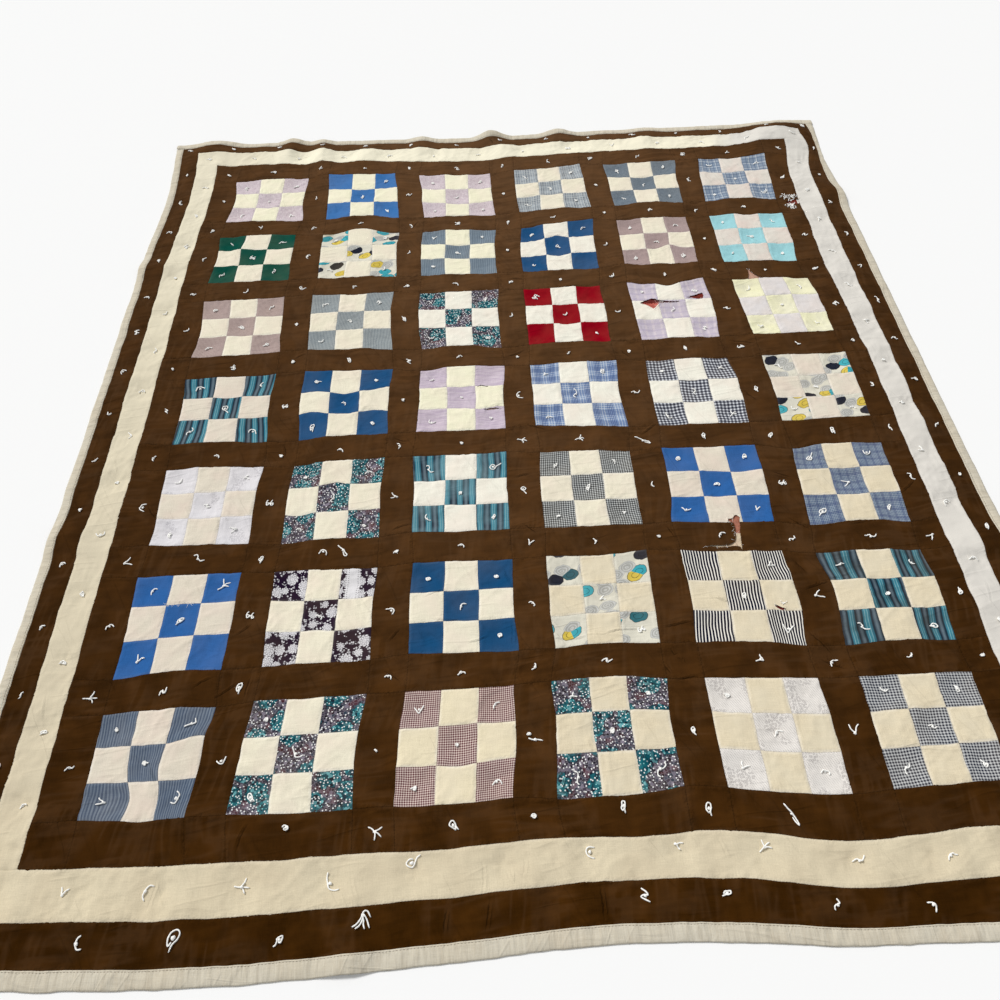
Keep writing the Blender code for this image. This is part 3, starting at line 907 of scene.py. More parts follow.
def heatherCloth(name, look):
    # short light flecks both ways
    recipe = Recipe(name)
    flecks = recipe.clipped(recipe.noise(0.011, 0.0011) * 3.4 - 1.5)
    flecks = flecks + recipe.clipped(recipe.noise(0.0011, 0.011) * 3.4 - 1.5)
    colour = recipe.mix(recipe.clipped(flecks) * look["flecks"], look["ground"], look["fleck"])
    return finishCloth(recipe, colour, look)


def ginghamCloth(name, look):
    recipe = Recipe(name)
    sway = (recipe.noise(0.03) - 0.5) * 0.0012
    down = recipe.stripes(recipe.x + sway, look["size"], look["share"])
    over = recipe.stripes(recipe.y + sway, look["size"], look["share"])
    single = look.get("single", 0.5)
    both = (down + over) * single + down * over * (look.get("both", 1.0) - 2 * single)
    return finishCloth(recipe, recipe.mix(both, look["pale"], look["dark"]), look)


def pinstripeCloth(name, look):
    recipe = Recipe(name)
    sway = (recipe.noise(0.05) - 0.5) * 0.0030
    line = recipe.stripes(recipe.x + sway, look["size"], look["share"], 0.0, 14.0)
    if "streak" in look:
        streaks = recipe.noise(0.0016, 0.06, 0, 2.0) * 2 * look["streak"]
        line = recipe.clipped(line * (1 - look["streak"]) + streaks)
    return finishCloth(recipe, recipe.mix(line, look["pale"], look["dark"]), look)


def bandedCloth(name, look):
    # broad woven stripes, repeated across the cloth
    recipe = Recipe(name)
    sway = (recipe.noise(0.05) - 0.5) * 0.0030
    across = ((recipe.x + sway) / look["size"]) % 1.0
    colour = recipe.ramp(look["bands"], across)
    return finishCloth(recipe, colour, look)


def plaidCloth(name, look):
    # each set of lines: way, repeat, where it starts, share of the repeat, dye, strength
    recipe = Recipe(name)
    sway = (recipe.noise(0.04) - 0.5) * 0.0016
    colour = recipe.mix(recipe.noise(0.0015) * 0.3, look["ground"], look["fleck"])
    for way, size, start, share, tint, strength, *band in look["lines"]:
        along = (recipe.x if way == "down" else recipe.y) + sway
        line = recipe.stripes(along, size, share, start) * strength
        if band:
            line = line * recipe.stripes(along, *band)
        colour = recipe.mix(line, colour, tint)
    return finishCloth(recipe, colour, look)


def sprigCloth(name, look):
    # crowded little leaves and white specks, with round posies here and there
    recipe = Recipe(name)
    sway = recipe.noise(0.009, detail=2.0) - 0.5
    posy = recipe.cells(0.043)
    inside = posy + sway * 0.34
    leafy = recipe.clipped((0.45 - inside) * 18)
    leaf = recipe.cells(0.0046)
    tint = recipe.split(leaf.also(1))
    ground = recipe.ramp(look["groundDyes"], tint)
    leaves = recipe.ramp(look["leafDyes"], tint)
    madder = recipe.clipped((recipe.noise(0.020) - 0.55) * 8)
    ground = recipe.mix(madder * 0.6, ground, look["madder"])
    colour = recipe.mix(leafy, ground, leaves)
    veins = recipe.clipped(1 - recipe.cells(0.0046, "DISTANCE_TO_EDGE") * 7)
    colour = recipe.mix(veins * (1 - leafy) * 0.55, colour, look["veinDye"])
    colour = recipe.mix(recipe.clipped(1 - abs(inside - 0.44) * 24) * 0.8, colour, look["lineDye"])
    colour = recipe.mix(recipe.clipped(1 - abs(inside - 0.24) * 26) * 0.7, colour, look["lineDye"])
    buds = recipe.cells(0.0054, turn=24)
    bud = recipe.split(buds.also(1))
    specks = recipe.clipped((0.23 - buds) * 24) * recipe.clipped((bud - 0.34) * 20)
    colour = recipe.mix(specks, colour, look["dotDye"])
    glints = recipe.clipped((0.22 - buds) * 18) * recipe.clipped((0.30 - bud) * 20) * leafy
    colour = recipe.mix(glints, colour, look["glintDye"])
    return finishCloth(recipe, colour, look)


def bloomCloth(name, look):
    # white garden flowers, drawn in fine dark lines, on a dark ground
    recipe = Recipe(name)
    flower = recipe.cells(0.026, randomness=0.75)
    places = {0: recipe.stretched(0.026, 0.026), 1: flower.also(2)}
    heart = recipe.node("ShaderNodeVectorMath", {"operation": "SUBTRACT"}, places)
    heart = recipe.split(heart)
    own = recipe.split(flower.also(1))
    heading = recipe.maths("ARCTAN2", heart.also(1), heart) + flower * 2.2 + own * 6
    petal = abs(recipe.maths("SINE", heading * 4.5))
    out = flower + (1 - petal) * 0.09 + (recipe.noise(0.004) - 0.5) * 0.07
    bloom = recipe.clipped((0.24 + own * 0.26 - out) * 40)
    ruffles = recipe.clipped(1 - abs((out * 8.0) % 1.0 - 0.5) * 4.5)
    line = recipe.clipped(ruffles + recipe.clipped((0.30 - petal) * 5) * recipe.clipped((flower - 0.10) * 20))
    sprig = recipe.cells(0.0050)
    clumps = recipe.clipped((recipe.noise(0.013, detail=0.0) - look["bare"]) * 30)
    leafy = recipe.clipped((0.42 - sprig) * 16) * clumps
    line = line + recipe.clipped((sprig - 0.26) * 10) * (1 - bloom) * 0.8
    shade = recipe.clipped(recipe.noise(0.005) * 3 - 1.3) * 0.30
    petals = recipe.mix(shade, look["pale"], look["grey"])
    drawn = recipe.mix(recipe.clipped(line) * 0.86, petals, look["line"])
    colour = recipe.mix(recipe.clipped(bloom + leafy), look["dark"], drawn)
    if "ribbon" in look:
        # one length of lace runs down beside the flowers
        offset = (recipe.x - look["ribbon"]) / look["ribbonWide"]
        scallop = abs(recipe.maths("SINE", recipe.y * (math.pi / 0.0058))) * 0.16
        band = recipe.clipped((0.5 - abs(offset) + scallop - 0.1) * 30)
        eyelets = recipe.cells(0.0042, randomness=0.2)
        side = recipe.clipped((abs(offset) - 0.24) * 20)
        lace = recipe.mix(recipe.clipped((0.26 - eyelets) * 16) * side * 0.7, look["pale"], look["line"])
        colour = recipe.mix(band, colour, lace)
    return finishCloth(recipe, colour, look)


def lacyCloth(name, look):
    # white cotton with little rings in loose clusters, and fine slanting dots
    recipe = Recipe(name)
    cluster = recipe.clipped((recipe.noise(0.036, detail=0.0) - look.get("bare", 0.55)) * 24)
    rings = recipe.cells(0.0046, randomness=0.7)
    ring = recipe.clipped(1 - abs(rings - 0.30) * 7) * cluster
    colour = recipe.mix(ring * look["rings"], look["ground"], look["ringDye"])
    dots = recipe.stripes(recipe.x * 0.86 + recipe.y * 0.5, 0.0034, 0.34, 0.0, 6.0)
    dots = dots * recipe.stripes(recipe.y - recipe.x * 0.3, 0.0026, 0.55, 0.0, 6.0)
    colour = recipe.mix(dots * (1 - cluster) * look["dots"], colour, look["ringDye"])
    return finishCloth(recipe, colour, look)


def pebbleCloth(name, look):
    # a general print: soft grey pebbles, some bright with dark rims
    recipe = Recipe(name)
    sway = recipe.noise(0.012, detail=2.0) - 0.5
    stones = recipe.cells(0.034, place=recipe.stretched(0.040, 0.028, 20))
    inside = stones + sway * 0.16
    tint = recipe.split(stones.also(1))
    shape = recipe.clipped((0.43 - inside) * 30)
    veins = recipe.clipped(1 - abs((inside * 7) % 1.0 - 0.5) * 3.4)
    grey = recipe.mix(veins * 0.55, look["grey"], look["white"])
    bright = recipe.ramp(look["brights"], tint)
    strong = recipe.clipped((tint.also(1) - look["plainShare"]) * 40)
    colour = recipe.mix(shape, look["ground"], recipe.mix(strong, grey, bright))
    rim = recipe.clipped(1 - abs(inside - 0.41) * 34) * strong
    rim = recipe.clipped(rim + recipe.clipped(1 - abs(inside - 0.20) * 40) * strong)
    colour = recipe.mix(rim * 0.9, colour, look["line"])
    return finishCloth(recipe, colour, look)


def bindingCloth(name, look):
    # gathered across, with a line of small stitches along its inner edge
    recipe = Recipe(name)
    gathers = recipe.noise(0.007, 0.060, detail=2.0) * 0.0014 + recipe.noise(0.020, 0.080) * 0.0016
    edge = recipe.clipped(1 - abs(recipe.seam - 0.0022) / 0.0007)
    stitch = edge * recipe.stripes(recipe.x, 0.0050, 0.45)
    look = dict(look, extraHeight=gathers - edge * 0.0005)
    colour = recipe.mix(recipe.noise(0.0022) * 0.2, look["ground"], (1, 1, 1, 1))
    soiled = recipe.clipped(recipe.noise(0.008, 0.060) * 3 - 1.5) * 0.22
    colour = recipe.mix(soiled, colour, dye(168, 152, 128))
    return finishCloth(recipe, recipe.mix(stitch * 0.75, colour, dye(84, 66, 50)), look)


def crinkledCloth(name, look):
    recipe = Recipe(name)
    waves = recipe.noise(0.040, 0.0032, 0, 2.0, 0.4)
    look = dict(look, extraHeight=waves * 0.0007)
    # painted shade in the troughs of the same waves that make the crinkles' bump
    colour = recipe.mix(recipe.clipped(waves * 2.4 - 0.8), look["shade"], look["ground"])
    return finishCloth(recipe, colour, look)


tealStripes = [
    (0.00, dye(60, 128, 148)), (0.07, dye(62, 130, 150)), (0.10, dye(152, 192, 198)),
    (0.13, dye(64, 134, 152)), (0.24, dye(68, 136, 152)), (0.27, dye(144, 186, 194)),
    (0.30, dye(58, 120, 138)), (0.40, dye(48, 104, 122)), (0.45, dye(30, 46, 62)), (0.53, dye(34, 48, 62)),
    (0.60, dye(76, 94, 108)), (0.70, dye(104, 120, 130)), (0.80, dye(78, 96, 108)), (0.86, dye(30, 46, 60)),
    (0.94, dye(34, 58, 74)), (1.00, dye(60, 128, 148)),
]
tealBands = {"size": 0.0256, "bands": tealStripes, "rim": 0.02, "ditchDye": dye(20, 30, 40)}
roses = {
    "dark": dye(36, 20, 42), "pale": dye(236, 234, 236), "grey": dye(176, 172, 184), "line": dye(52, 44, 60),
    "bare": 0.50, "ditchDye": dye(20, 12, 22),
}
# the brown's wear, with painted shade in seams, hollows and folds, painted highlights on crests and painted
# haze towards the head end
brownWearAndShading = {
    "faded": dye(120, 90, 64), "fade": 0.42, "rim": 0.03, "rimDye": dye(150, 118, 84), "stain": 0.05,
    "stainDye": dye(96, 68, 38), "ditch": 0.50, "ditchDye": dye(24, 12, 2), "foldShade": 0.10,
    "valleyShade": 0.75, "edging": 0.26, "depth": 0.22, "crease": 0.00060, "wave": 0.0020,
    "ripple": 0.0030, "grain": 0.0003, "pucker": 0.0014, "second": dye(84, 50, 14), "uneven": 0.5,
    "outerSoil": 0.36,
}
fabrics = {
    "warmCream": (plainCloth, {"ground": dye(241, 235, 207), "second": dye(246, 236, 214), "rim": 0.30}),
    "cream": (plainCloth, {"ground": dye(233, 226, 204), "second": dye(238, 224, 206), "rim": 0.30}),
    "offWhite": (plainCloth, {"ground": dye(240, 235, 221), "second": dye(242, 230, 216), "rim": 0.25}),
    "pinkCream": (plainCloth, {"ground": dye(222, 213, 196), "second": dye(228, 210, 196), "rim": 0.30}),
    "tanCream": (plainCloth, {"ground": dye(222, 209, 181), "second": dye(224, 214, 190), "rim": 0.30}),
    "yellowCream": (plainCloth, {"ground": dye(229, 217, 187), "second": dye(236, 224, 198), "rim": 0.30}),
    "lilacWhite": (plainCloth, {"ground": dye(222, 217, 216), "second": dye(226, 214, 204), "rim": 0.15}),
    "pinkWhite": (plainCloth, {"ground": dye(220, 214, 204), "second": dye(230, 208, 198), "rim": 0.20}),
    "lavender": (heatherCloth, {"ground": dye(198, 180, 190), "fleck": dye(234, 226, 226), "flecks": 0.7}),
    "royalBlue": (plainCloth, {"ground": dye(46, 96, 158), "rim": 0.04, "ditchDye": dye(20, 40, 80)}),
    "washedBlue": (plainCloth, {"ground": dye(60, 113, 173), "rim": 0.04, "ditchDye": dye(20, 40, 80)}),
    "blueGreyPlaid": (plaidCloth, {"ground": dye(152, 162, 172), "fleck": dye(204, 208, 208), "lines": (
        ("down", 0.0042, 0.0, 0.34, dye(64, 72, 90), 0.75, 0.026, 0.50, 0.2, 5.0),
        ("over", 0.0042, 0.0, 0.34, dye(64, 72, 90), 0.70, 0.026, 0.50, 0.5, 5.0),
        ("down", 0.0068, 0.3, 0.22, dye(214, 218, 214), 0.6),
        ("over", 0.0068, 0.1, 0.22, dye(214, 218, 214), 0.5))}),
    "slateChambray": (heatherCloth, {
        "ground": dye(104, 116, 128), "fleck": dye(148, 158, 164), "flecks": 0.4}),
    "midBluePlaid": (plaidCloth, {"ground": dye(130, 148, 170), "fleck": dye(176, 186, 194), "lines": (
        ("down", 0.0210, 0.0, 0.16, dye(206, 212, 216), 0.6),
        ("over", 0.0240, 0.2, 0.14, dye(204, 210, 216), 0.5),
        ("down", 0.0105, 0.3, 0.20, dye(84, 102, 134), 0.6),
        ("over", 0.0120, 0.4, 0.20, dye(88, 106, 136), 0.6))}),
    "darkGreen": (plainCloth, {"ground": dye(8, 74, 62), "rim": 0.02, "ditchDye": dye(4, 30, 24)}),
    "pebblePrint": (pebbleCloth, {
        "ground": dye(226, 222, 206), "grey": dye(176, 176, 170), "white": dye(238, 238, 236),
        "plainShare": 0.60, "line": dye(24, 26, 34), "brights": [
            (0.0, dye(60, 164, 178)), (0.40, dye(74, 178, 190)), (0.46, dye(40, 44, 58)),
            (0.72, dye(34, 38, 52)), (0.78, dye(218, 192, 84)), (1.0, dye(226, 202, 92))]}),
    "slateStripe": (pinstripeCloth, {
        "pale": dye(144, 158, 168), "dark": dye(108, 122, 136), "size": 0.0046, "share": 0.5,
        "streak": 0.4}),
    "denim": (plainCloth, {"ground": dye(30, 78, 122), "rim": 0.03, "ditchDye": dye(12, 30, 60)}),
    "taupe": (heatherCloth, {"ground": dye(166, 145, 144), "fleck": dye(190, 172, 168), "flecks": 0.4}),
    "aqua": (plainCloth, {"ground": dye(154, 206, 213), "rim": 0.12}),
    "mauveGingham": (ginghamCloth, {
        "pale": dye(200, 184, 176), "dark": dye(146, 120, 120), "size": 0.0028, "share": 0.5}),
    "greyBlueGingham": (ginghamCloth, {
        "pale": dye(182, 188, 186), "dark": dye(98, 110, 122), "size": 0.0034, "share": 0.5}),
    "tealSprig": (sprigCloth, {
        "groundDyes": [
            (0.0, dye(26, 24, 36)), (0.3, dye(70, 64, 80)), (0.5, dye(34, 28, 40)),
            (0.7, dye(138, 130, 146)), (0.9, dye(50, 62, 78))],
        "leafDyes": [
            (0.0, dye(10, 70, 84)), (0.35, dye(32, 116, 126)), (0.6, dye(18, 44, 62)),
            (0.8, dye(112, 176, 182)), (0.95, dye(14, 32, 48))],
        "madder": dye(92, 40, 46), "veinDye": dye(152, 146, 154), "lineDye": dye(16, 28, 44),
        "glintDye": dye(140, 206, 206), "dotDye": dye(244, 244, 242), "ditchDye": dye(20, 24, 34)}),
    "red": (plainCloth, {"ground": dye(138, 0, 22), "rim": 0.01, "ditchDye": dye(60, 0, 8)}),
    "paleLilacPlaid": (plaidCloth, {"ground": dye(200, 190, 204), "fleck": dye(222, 214, 220), "lines": (
        ("down", 0.0190, 0.0, 0.3, dye(222, 210, 214), 0.6),
        ("over", 0.0190, 0.0, 0.3, dye(184, 172, 196), 0.45))}),
    "paleYellow": (plainCloth, {"ground": dye(236, 233, 196), "second": dye(232, 228, 210), "rim": 0.12}),
    "tealBands": (bandedCloth, tealBands),
    "tealBandsPale": (bandedCloth, {**tealBands, "second": dye(128, 168, 178), "uneven": 0.34}),
    "tealBandsDull": (bandedCloth, {**tealBands, "second": dye(42, 42, 34), "uneven": 0.5}),
    "lilacCrinkle": (crinkledCloth, {"ground": dye(218, 205, 215), "shade": dye(196, 180, 198)}),
    "glenPlaid": (plaidCloth, {"ground": dye(124, 148, 186), "fleck": dye(156, 174, 202), "lines": (
        ("down", 0.0056, 0.0, 0.20, dye(226, 232, 236), 0.75, 0.030, 0.50, 0.5, 6.0),
        ("over", 0.0056, 0.0, 0.20, dye(226, 232, 236), 0.75, 0.030, 0.50, 0.5, 6.0),
        ("down", 0.0033, 0.0, 0.36, dye(52, 72, 124), 0.85, 0.030, 0.44, 0.0, 6.0),
        ("over", 0.0033, 0.0, 0.36, dye(52, 72, 124), 0.75, 0.030, 0.44, 0.0, 6.0))}),
    "navyCheck": (ginghamCloth, {
        "pale": dye(226, 230, 236), "dark": dye(12, 20, 50), "size": 0.0078, "share": 0.56, "single": 0.72,
        "both": 0.97}),
    "greyLace": (lacyCloth, {
        "ground": dye(229, 226, 229), "ringDye": dye(104, 100, 112), "rings": 0.50, "dots": 0.06,
        "bare": 0.61}),
    "blueFleck": (plaidCloth, {"ground": dye(68, 92, 126), "fleck": dye(150, 162, 172), "lines": (
        ("down", 0.0031, 0.0, 0.34, dye(186, 196, 204), 0.45),
        ("over", 0.0036, 0.0, 0.30, dye(186, 196, 204), 0.45),
        ("down", 0.0160, 0.2, 0.30, dye(44, 60, 110), 0.35),
        ("over", 0.0190, 0.0, 0.30, dye(44, 60, 110), 0.35))}),
    "blackCheck": (ginghamCloth, {
        "pale": dye(212, 215, 213), "dark": dye(14, 18, 28), "size": 0.0046, "share": 0.54, "single": 0.68,
        "both": 0.97}),
    "roseBloom": (bloomCloth, roses),
    "roseRibbon": (bloomCloth, {**roses, "ribbon": 0.0, "ribbonWide": 0.026}),
    "petrol": (plainCloth, {"ground": dye(20, 72, 114), "rim": 0.03, "ditchDye": dye(8, 28, 54)}),
    "navyPinstripe": (pinstripeCloth, {
        "pale": dye(242, 238, 228), "dark": dye(12, 18, 42), "size": 0.0052, "share": 0.62}),
    "slatePinstripe": (pinstripeCloth, {
        "pale": dye(140, 152, 164), "dark": dye(76, 90, 112), "size": 0.0048, "share": 0.5, "streak": 0.5}),
    "maroonGingham": (ginghamCloth, {
        "pale": dye(232, 214, 204), "dark": dye(92, 34, 50), "size": 0.0037, "share": 0.55, "single": 0.58}),
    "whiteDots": (lacyCloth, {
        "ground": dye(236, 231, 225), "ringDye": dye(100, 92, 98), "rings": 0.7, "dots": 0.40}),
    "smallNavyCheck": (ginghamCloth, {
        "pale": dye(206, 208, 208), "dark": dye(26, 32, 54), "size": 0.0050, "share": 0.55}),
    "sashBrown": (plainCloth, {"ground": dye(60, 33, 2), **brownWearAndShading}),
    "borderBrown": (plainCloth, {"ground": dye(57, 31, 1), **brownWearAndShading}),
    # the cream band's dye at the foot, with painted light making it paler towards the head end
    "bandCream": (plainCloth, {
        "ground": dye(213, 200, 172), "faded": dye(246, 240, 217), "fade": 0.95, "fadeMiddle": 0.10,
        "sides": ((1, 0.90, dye(219, 215, 209)), (-1, 0.36, dye(206, 194, 170))), "rim": 0.10,
        "stain": 0.25, "stainDye": dye(196, 176, 146), "crease": 0.0004, "wave": 0.0022, "ripple": 0.0004,
        "foldShade": 0.02, "valleyShade": 0.05, "fold": 0.0003, "ditch": 0.5}),
    "bindingMuslin": (bindingCloth, {
        "ground": dye(209, 200, 179), "rim": 0.0, "ditch": 0.0, "stain": 0.15, "wave": 0.0014}),
    "backingMuslin": (plainCloth, {"ground": dye(216, 208, 188), "rim": 0.0, "ditch": 0.0, "stain": 0.2}),
    "tornRose": (plainCloth, {
        "ground": dye(206, 112, 100), "second": dye(150, 60, 50), "uneven": 0.8, "ditch": 0.0}),
    "tornSalmon": (plainCloth, {
        "ground": dye(176, 114, 94), "second": dye(128, 70, 54), "uneven": 0.8, "ditch": 0.0}),
    # a maroon lining, also used as painted shadow under the nick and in the wadding hole
    "tornMaroon": (plainCloth, {
        "ground": dye(92, 26, 24), "second": dye(140, 52, 46), "uneven": 0.6, "ditch": 0.0}),
    "tornCream": (plainCloth, {
        "ground": dye(222, 208, 180), "second": dye(196, 160, 136), "uneven": 0.5, "ditch": 0.0}),
    # under the slits, as their painted shadow
    "tornBrown": (plainCloth, {"ground": dye(142, 116, 108), "ditch": 0.0}),
    "tornTan": (plainCloth, {
        "ground": dye(200, 160, 140), "second": dye(150, 104, 86), "uneven": 0.5, "ditch": 0.0}),
    "brownThread": (plainCloth, {"ground": dye(84, 52, 20), "ditch": 0.0}),
}
dyedCloths = {}


def fabric(name):
    if name not in dyedCloths:
        weaver, look = fabrics[name]
        dyedCloths[name] = weaver(name, look)
    return dyedCloths[name]


# corner and middle patches, then the four between them, row by row from the head
blockPlan = [
    [("lavender", "warmCream"), ("washedBlue", "warmCream"), ("lavender", "warmCream"),
     ("blueGreyPlaid", "cream"), ("slateChambray", "cream"), ("midBluePlaid", "pinkWhite")],
    [("darkGreen", "cream"), ("pebblePrint", "cream"), ("slateStripe", "warmCream"),
     ("denim", "offWhite"), ("taupe", "cream"), ("aqua", "pinkWhite")],
    [("mauveGingham", "cream"), ("greyBlueGingham", "cream"), ("tealSprig", "offWhite"),
     ("red", "offWhite"), ("paleLilacPlaid", "offWhite"), ("paleYellow", "lilacWhite")],
    [("tealBands", "pinkCream"), ("denim", "cream"), ("lilacCrinkle", "warmCream"),
     ("glenPlaid", "offWhite"), ("navyCheck", "offWhite"), ("pebblePrint", "pinkCream")],
    [("greyLace", "pinkCream"), ("tealSprig", "cream"), ("tealBandsPale", "offWhite"),
     ("blackCheck", "cream"), ("royalBlue", "pinkCream"), ("blueFleck", "tanCream")],
    [("royalBlue", "pinkCream"), ("roseBloom", "cream"), ("petrol", "cream"),
     ("pebblePrint", "tanCream"), ("navyPinstripe", "tanCream"), ("tealBandsDull", "tanCream")],
    [("slatePinstripe", "pinkCream"), ("tealSprig", "cream"), ("maroonGingham", "yellowCream"),
     ("tealSprig", "tanCream"), ("whiteDots", "tanCream"), ("smallNavyCheck", "tanCream")],
]


# a patch cut from another cloth: which one, counted right and up
oddPatches = {(5, 1): {"roseRibbon": (2, 2)}}


# how finely the cloth is gridded
gridding = {
    "patch": 20,             # cells across one patch
    "sash": 16,              # across a sash
    "block": 46,             # along a block's side
    "alongEdge": 0.0042,     # cells outside the blocks, in metres
    "acrossEdge": 0.0035,
}
allowance = 0.005            # how far a piece goes under the next one


def patchLines(middle):
    edges = [middle + (k - 1.5) * patchSize for k in range(4)]
    return joinedLines(*[drawnIn(a, b, gridding["patch"]) for a, b in zip(edges, edges[1:])])


patchCutting = {
    "bolt": 0.6,             # how far apart on the bolt the patches are cut
    "slant": 1.4,            # degrees
    "ribbon": (0.018, 0.30), # how far in from the patch's left edge, and its place along the bolt
}


def makeBlock(row, column):
    middleU, middleV = blockMiddle(row, column)
    piece = cutCloth(f"block_r{row + 1}_c{column + 1}", patchLines(middleU), patchLines(middleV))
    tearOpen(piece)
    rng = np.random.default_rng(100 + row * columns + column)
    shifts = rng.uniform(0, patchCutting["bolt"], (9, 2))
    odd = oddPatches.get((row, column), {})
    if odd:
        # the ribbon lies down the left of its patch
        besideU, atV = patchCutting["ribbon"]
        shifts[8] = (-(middleU + patchSize / 2 + besideU), atV)
    turns = rng.normal(0, math.radians(patchCutting["slant"]), 9)

    def patchOf(u, v):
        i = np.clip(np.floor((u - middleU) / patchSize + 1.5), 0, 2).astype(int)
        j = np.clip(np.floor((v - middleV) / patchSize + 1.5), 0, 2).astype(int)
        return i, j

    def shiftOf(u, v):
        i, j = patchOf(u, v)
        return shifts[i * 3 + j], turns[i * 3 + j]

    markCloth(piece, shiftOf)
    for name in (*blockPlan[row][column], *odd):
        piece.data.materials.append(fabric(name))
    middles = faceMiddles(piece.data)
    i, j = patchOf(middles[:, 0], middles[:, 1])
    cloth = (i + j) % 2
    for k, (right, up) in enumerate(odd.values()):
        cloth = np.where((i == right) & (j == up), k + 2, cloth)
    piece.data.polygons.foreach_set("material_index", cloth.astype(np.int32))
    layCloth(piece)
    dress(piece, "brown_sashing", "quilt_field")


def longLines(low, high, count):
    # grid lines across the whole field, with every block edge on a line
    first, last = -(count - 1) / 2 * pitch - blockSize / 2, (count - 1) / 2 * pitch + blockSize / 2
    runs = [even(low, first, gridding["alongEdge"])]
    for k in range(count):
        start = first + k * pitch
        runs.append(drawnIn(start, start + blockSize, gridding["block"]))
        if k < count - 1:
            runs.append(drawnIn(start + blockSize, start + pitch, gridding["sash"]))
    runs.append(even(last, high, gridding["alongEdge"]))
    return joinedLines(*runs)


def withAllowance(lines):
    # grid lines for the seam allowances at both ends
    past = np.array([allowance / 2, allowance])
    return np.concatenate([lines[0] - past[::-1], lines, lines[-1] + past])


def makeSashing():
    # long strips from side to side, then a row of the short ones between the blocks at a time
    left, right = quilt["left"][0], quilt["right"][0]
    acrossField = withAllowance(longLines(left, right, columns))
    edges = [quilt["head"][0]]
    for row in range(rows):
        middle = blockMiddle(row, 0)[1]
        edges += [middle + blockSize / 2, middle - blockSize / 2]
    edges.append(quilt["foot"][0])
    for k in range(rows + 1):
        top, bottom = edges[2 * k], edges[2 * k + 1]
        vLines = withAllowance(drawnIn(bottom, top, gridding["sash"]))
        piece = cutCloth(f"sash_strip_{k + 1}", acrossField, vLines)
        tearOpen(piece)
        markCloth(piece, oneShift(200 + k))
        piece.data.materials.append(fabric("sashBrown"))
        layCloth(piece, (left, right, bottom, top))
        dress(piece, "brown_sashing", "quilt_field")
        top - bottom + 2 * allowance
    middles = [blockMiddle(0, column)[0] for column in range(columns)]
    starts = [left] + [middle + blockSize / 2 for middle in middles]
    ends = [middle - blockSize / 2 for middle in middles] + [right]
    for row in range(rows):
        middle = blockMiddle(row, 0)[1]
        bottom, top = middle - blockSize / 2, middle + blockSize / 2
        vLines = withAllowance(drawnIn(bottom, top, gridding["block"]))
        pieces = []
        for k, (start, end) in enumerate(zip(starts, ends)):
            uLines = withAllowance(drawnIn(start, end, gridding["sash"]))
            piece = cutCloth(f"sash_{row}_{k}", uLines, vLines)
            markCloth(piece, oneShift(300 + row * 7 + k))
            piece.data.materials.append(fabric("sashBrown"))
            layCloth(piece, (start, end, bottom, top))
            pieces.append(piece)
        joined = joinPieces(pieces, f"short_sashes_{row + 1}")
        dress(joined, "brown_sashing", "quilt_field")
        width = sum(end - start + 2 * allowance for start, end in zip(starts, ends))


quiltSides = ("left", "right", "head", "foot")


def makeBorder(kind, ring, cloth, slot):
    # side strips first, then the head and foot strips over their ends
    inner = {side: quilt[side][ring] for side in quiltSides}
    outer = {side: quilt[side][ring + 1] for side in quiltSides}
    narrow, step = gridding["acrossEdge"], gridding["alongEdge"]
    for side in quiltSides:
        low, high = sorted((inner[side], outer[side]))
        if side in ("left", "right"):
            own, uStep, vStep = (low, high, inner["foot"], inner["head"]), narrow, step
        else:
            own, uStep, vStep = (outer["left"], outer["right"], low, high), step, narrow
        uLines = withAllowance(even(own[0], own[1], uStep))
        vLines = withAllowance(even(own[2], own[3], vStep))
        piece = cutCloth(f"{kind}_{side}_cloth", uLines, vLines)
        markCloth(piece, oneShift(400 + ring * 4 + len(side)))
        piece.data.materials.append(fabric(cloth))
        layCloth(piece, own)
        dress(piece, slot, f"{kind}_{side}")
        own[1] - own[0] + 2 * allowance
        own[3] - own[2] + 2 * allowance


bindingShape = {
    "over": 0.0011,          # how far its inner edge stands over the brown border
    "thick": 0.0030,
    "under": 0.013,          # turned under the quilt
    "tuck": 0.0016,          # how far its inner edge is turned in
    "bulge": 0.0012,
    "fold": 0.0013,          # height of the folded edge
    "below": 0.0004,         # and of what is under the quilt
    "lowest": 0.0003,
    "pucker": 0.0009,
    "step": 0.0028,
}


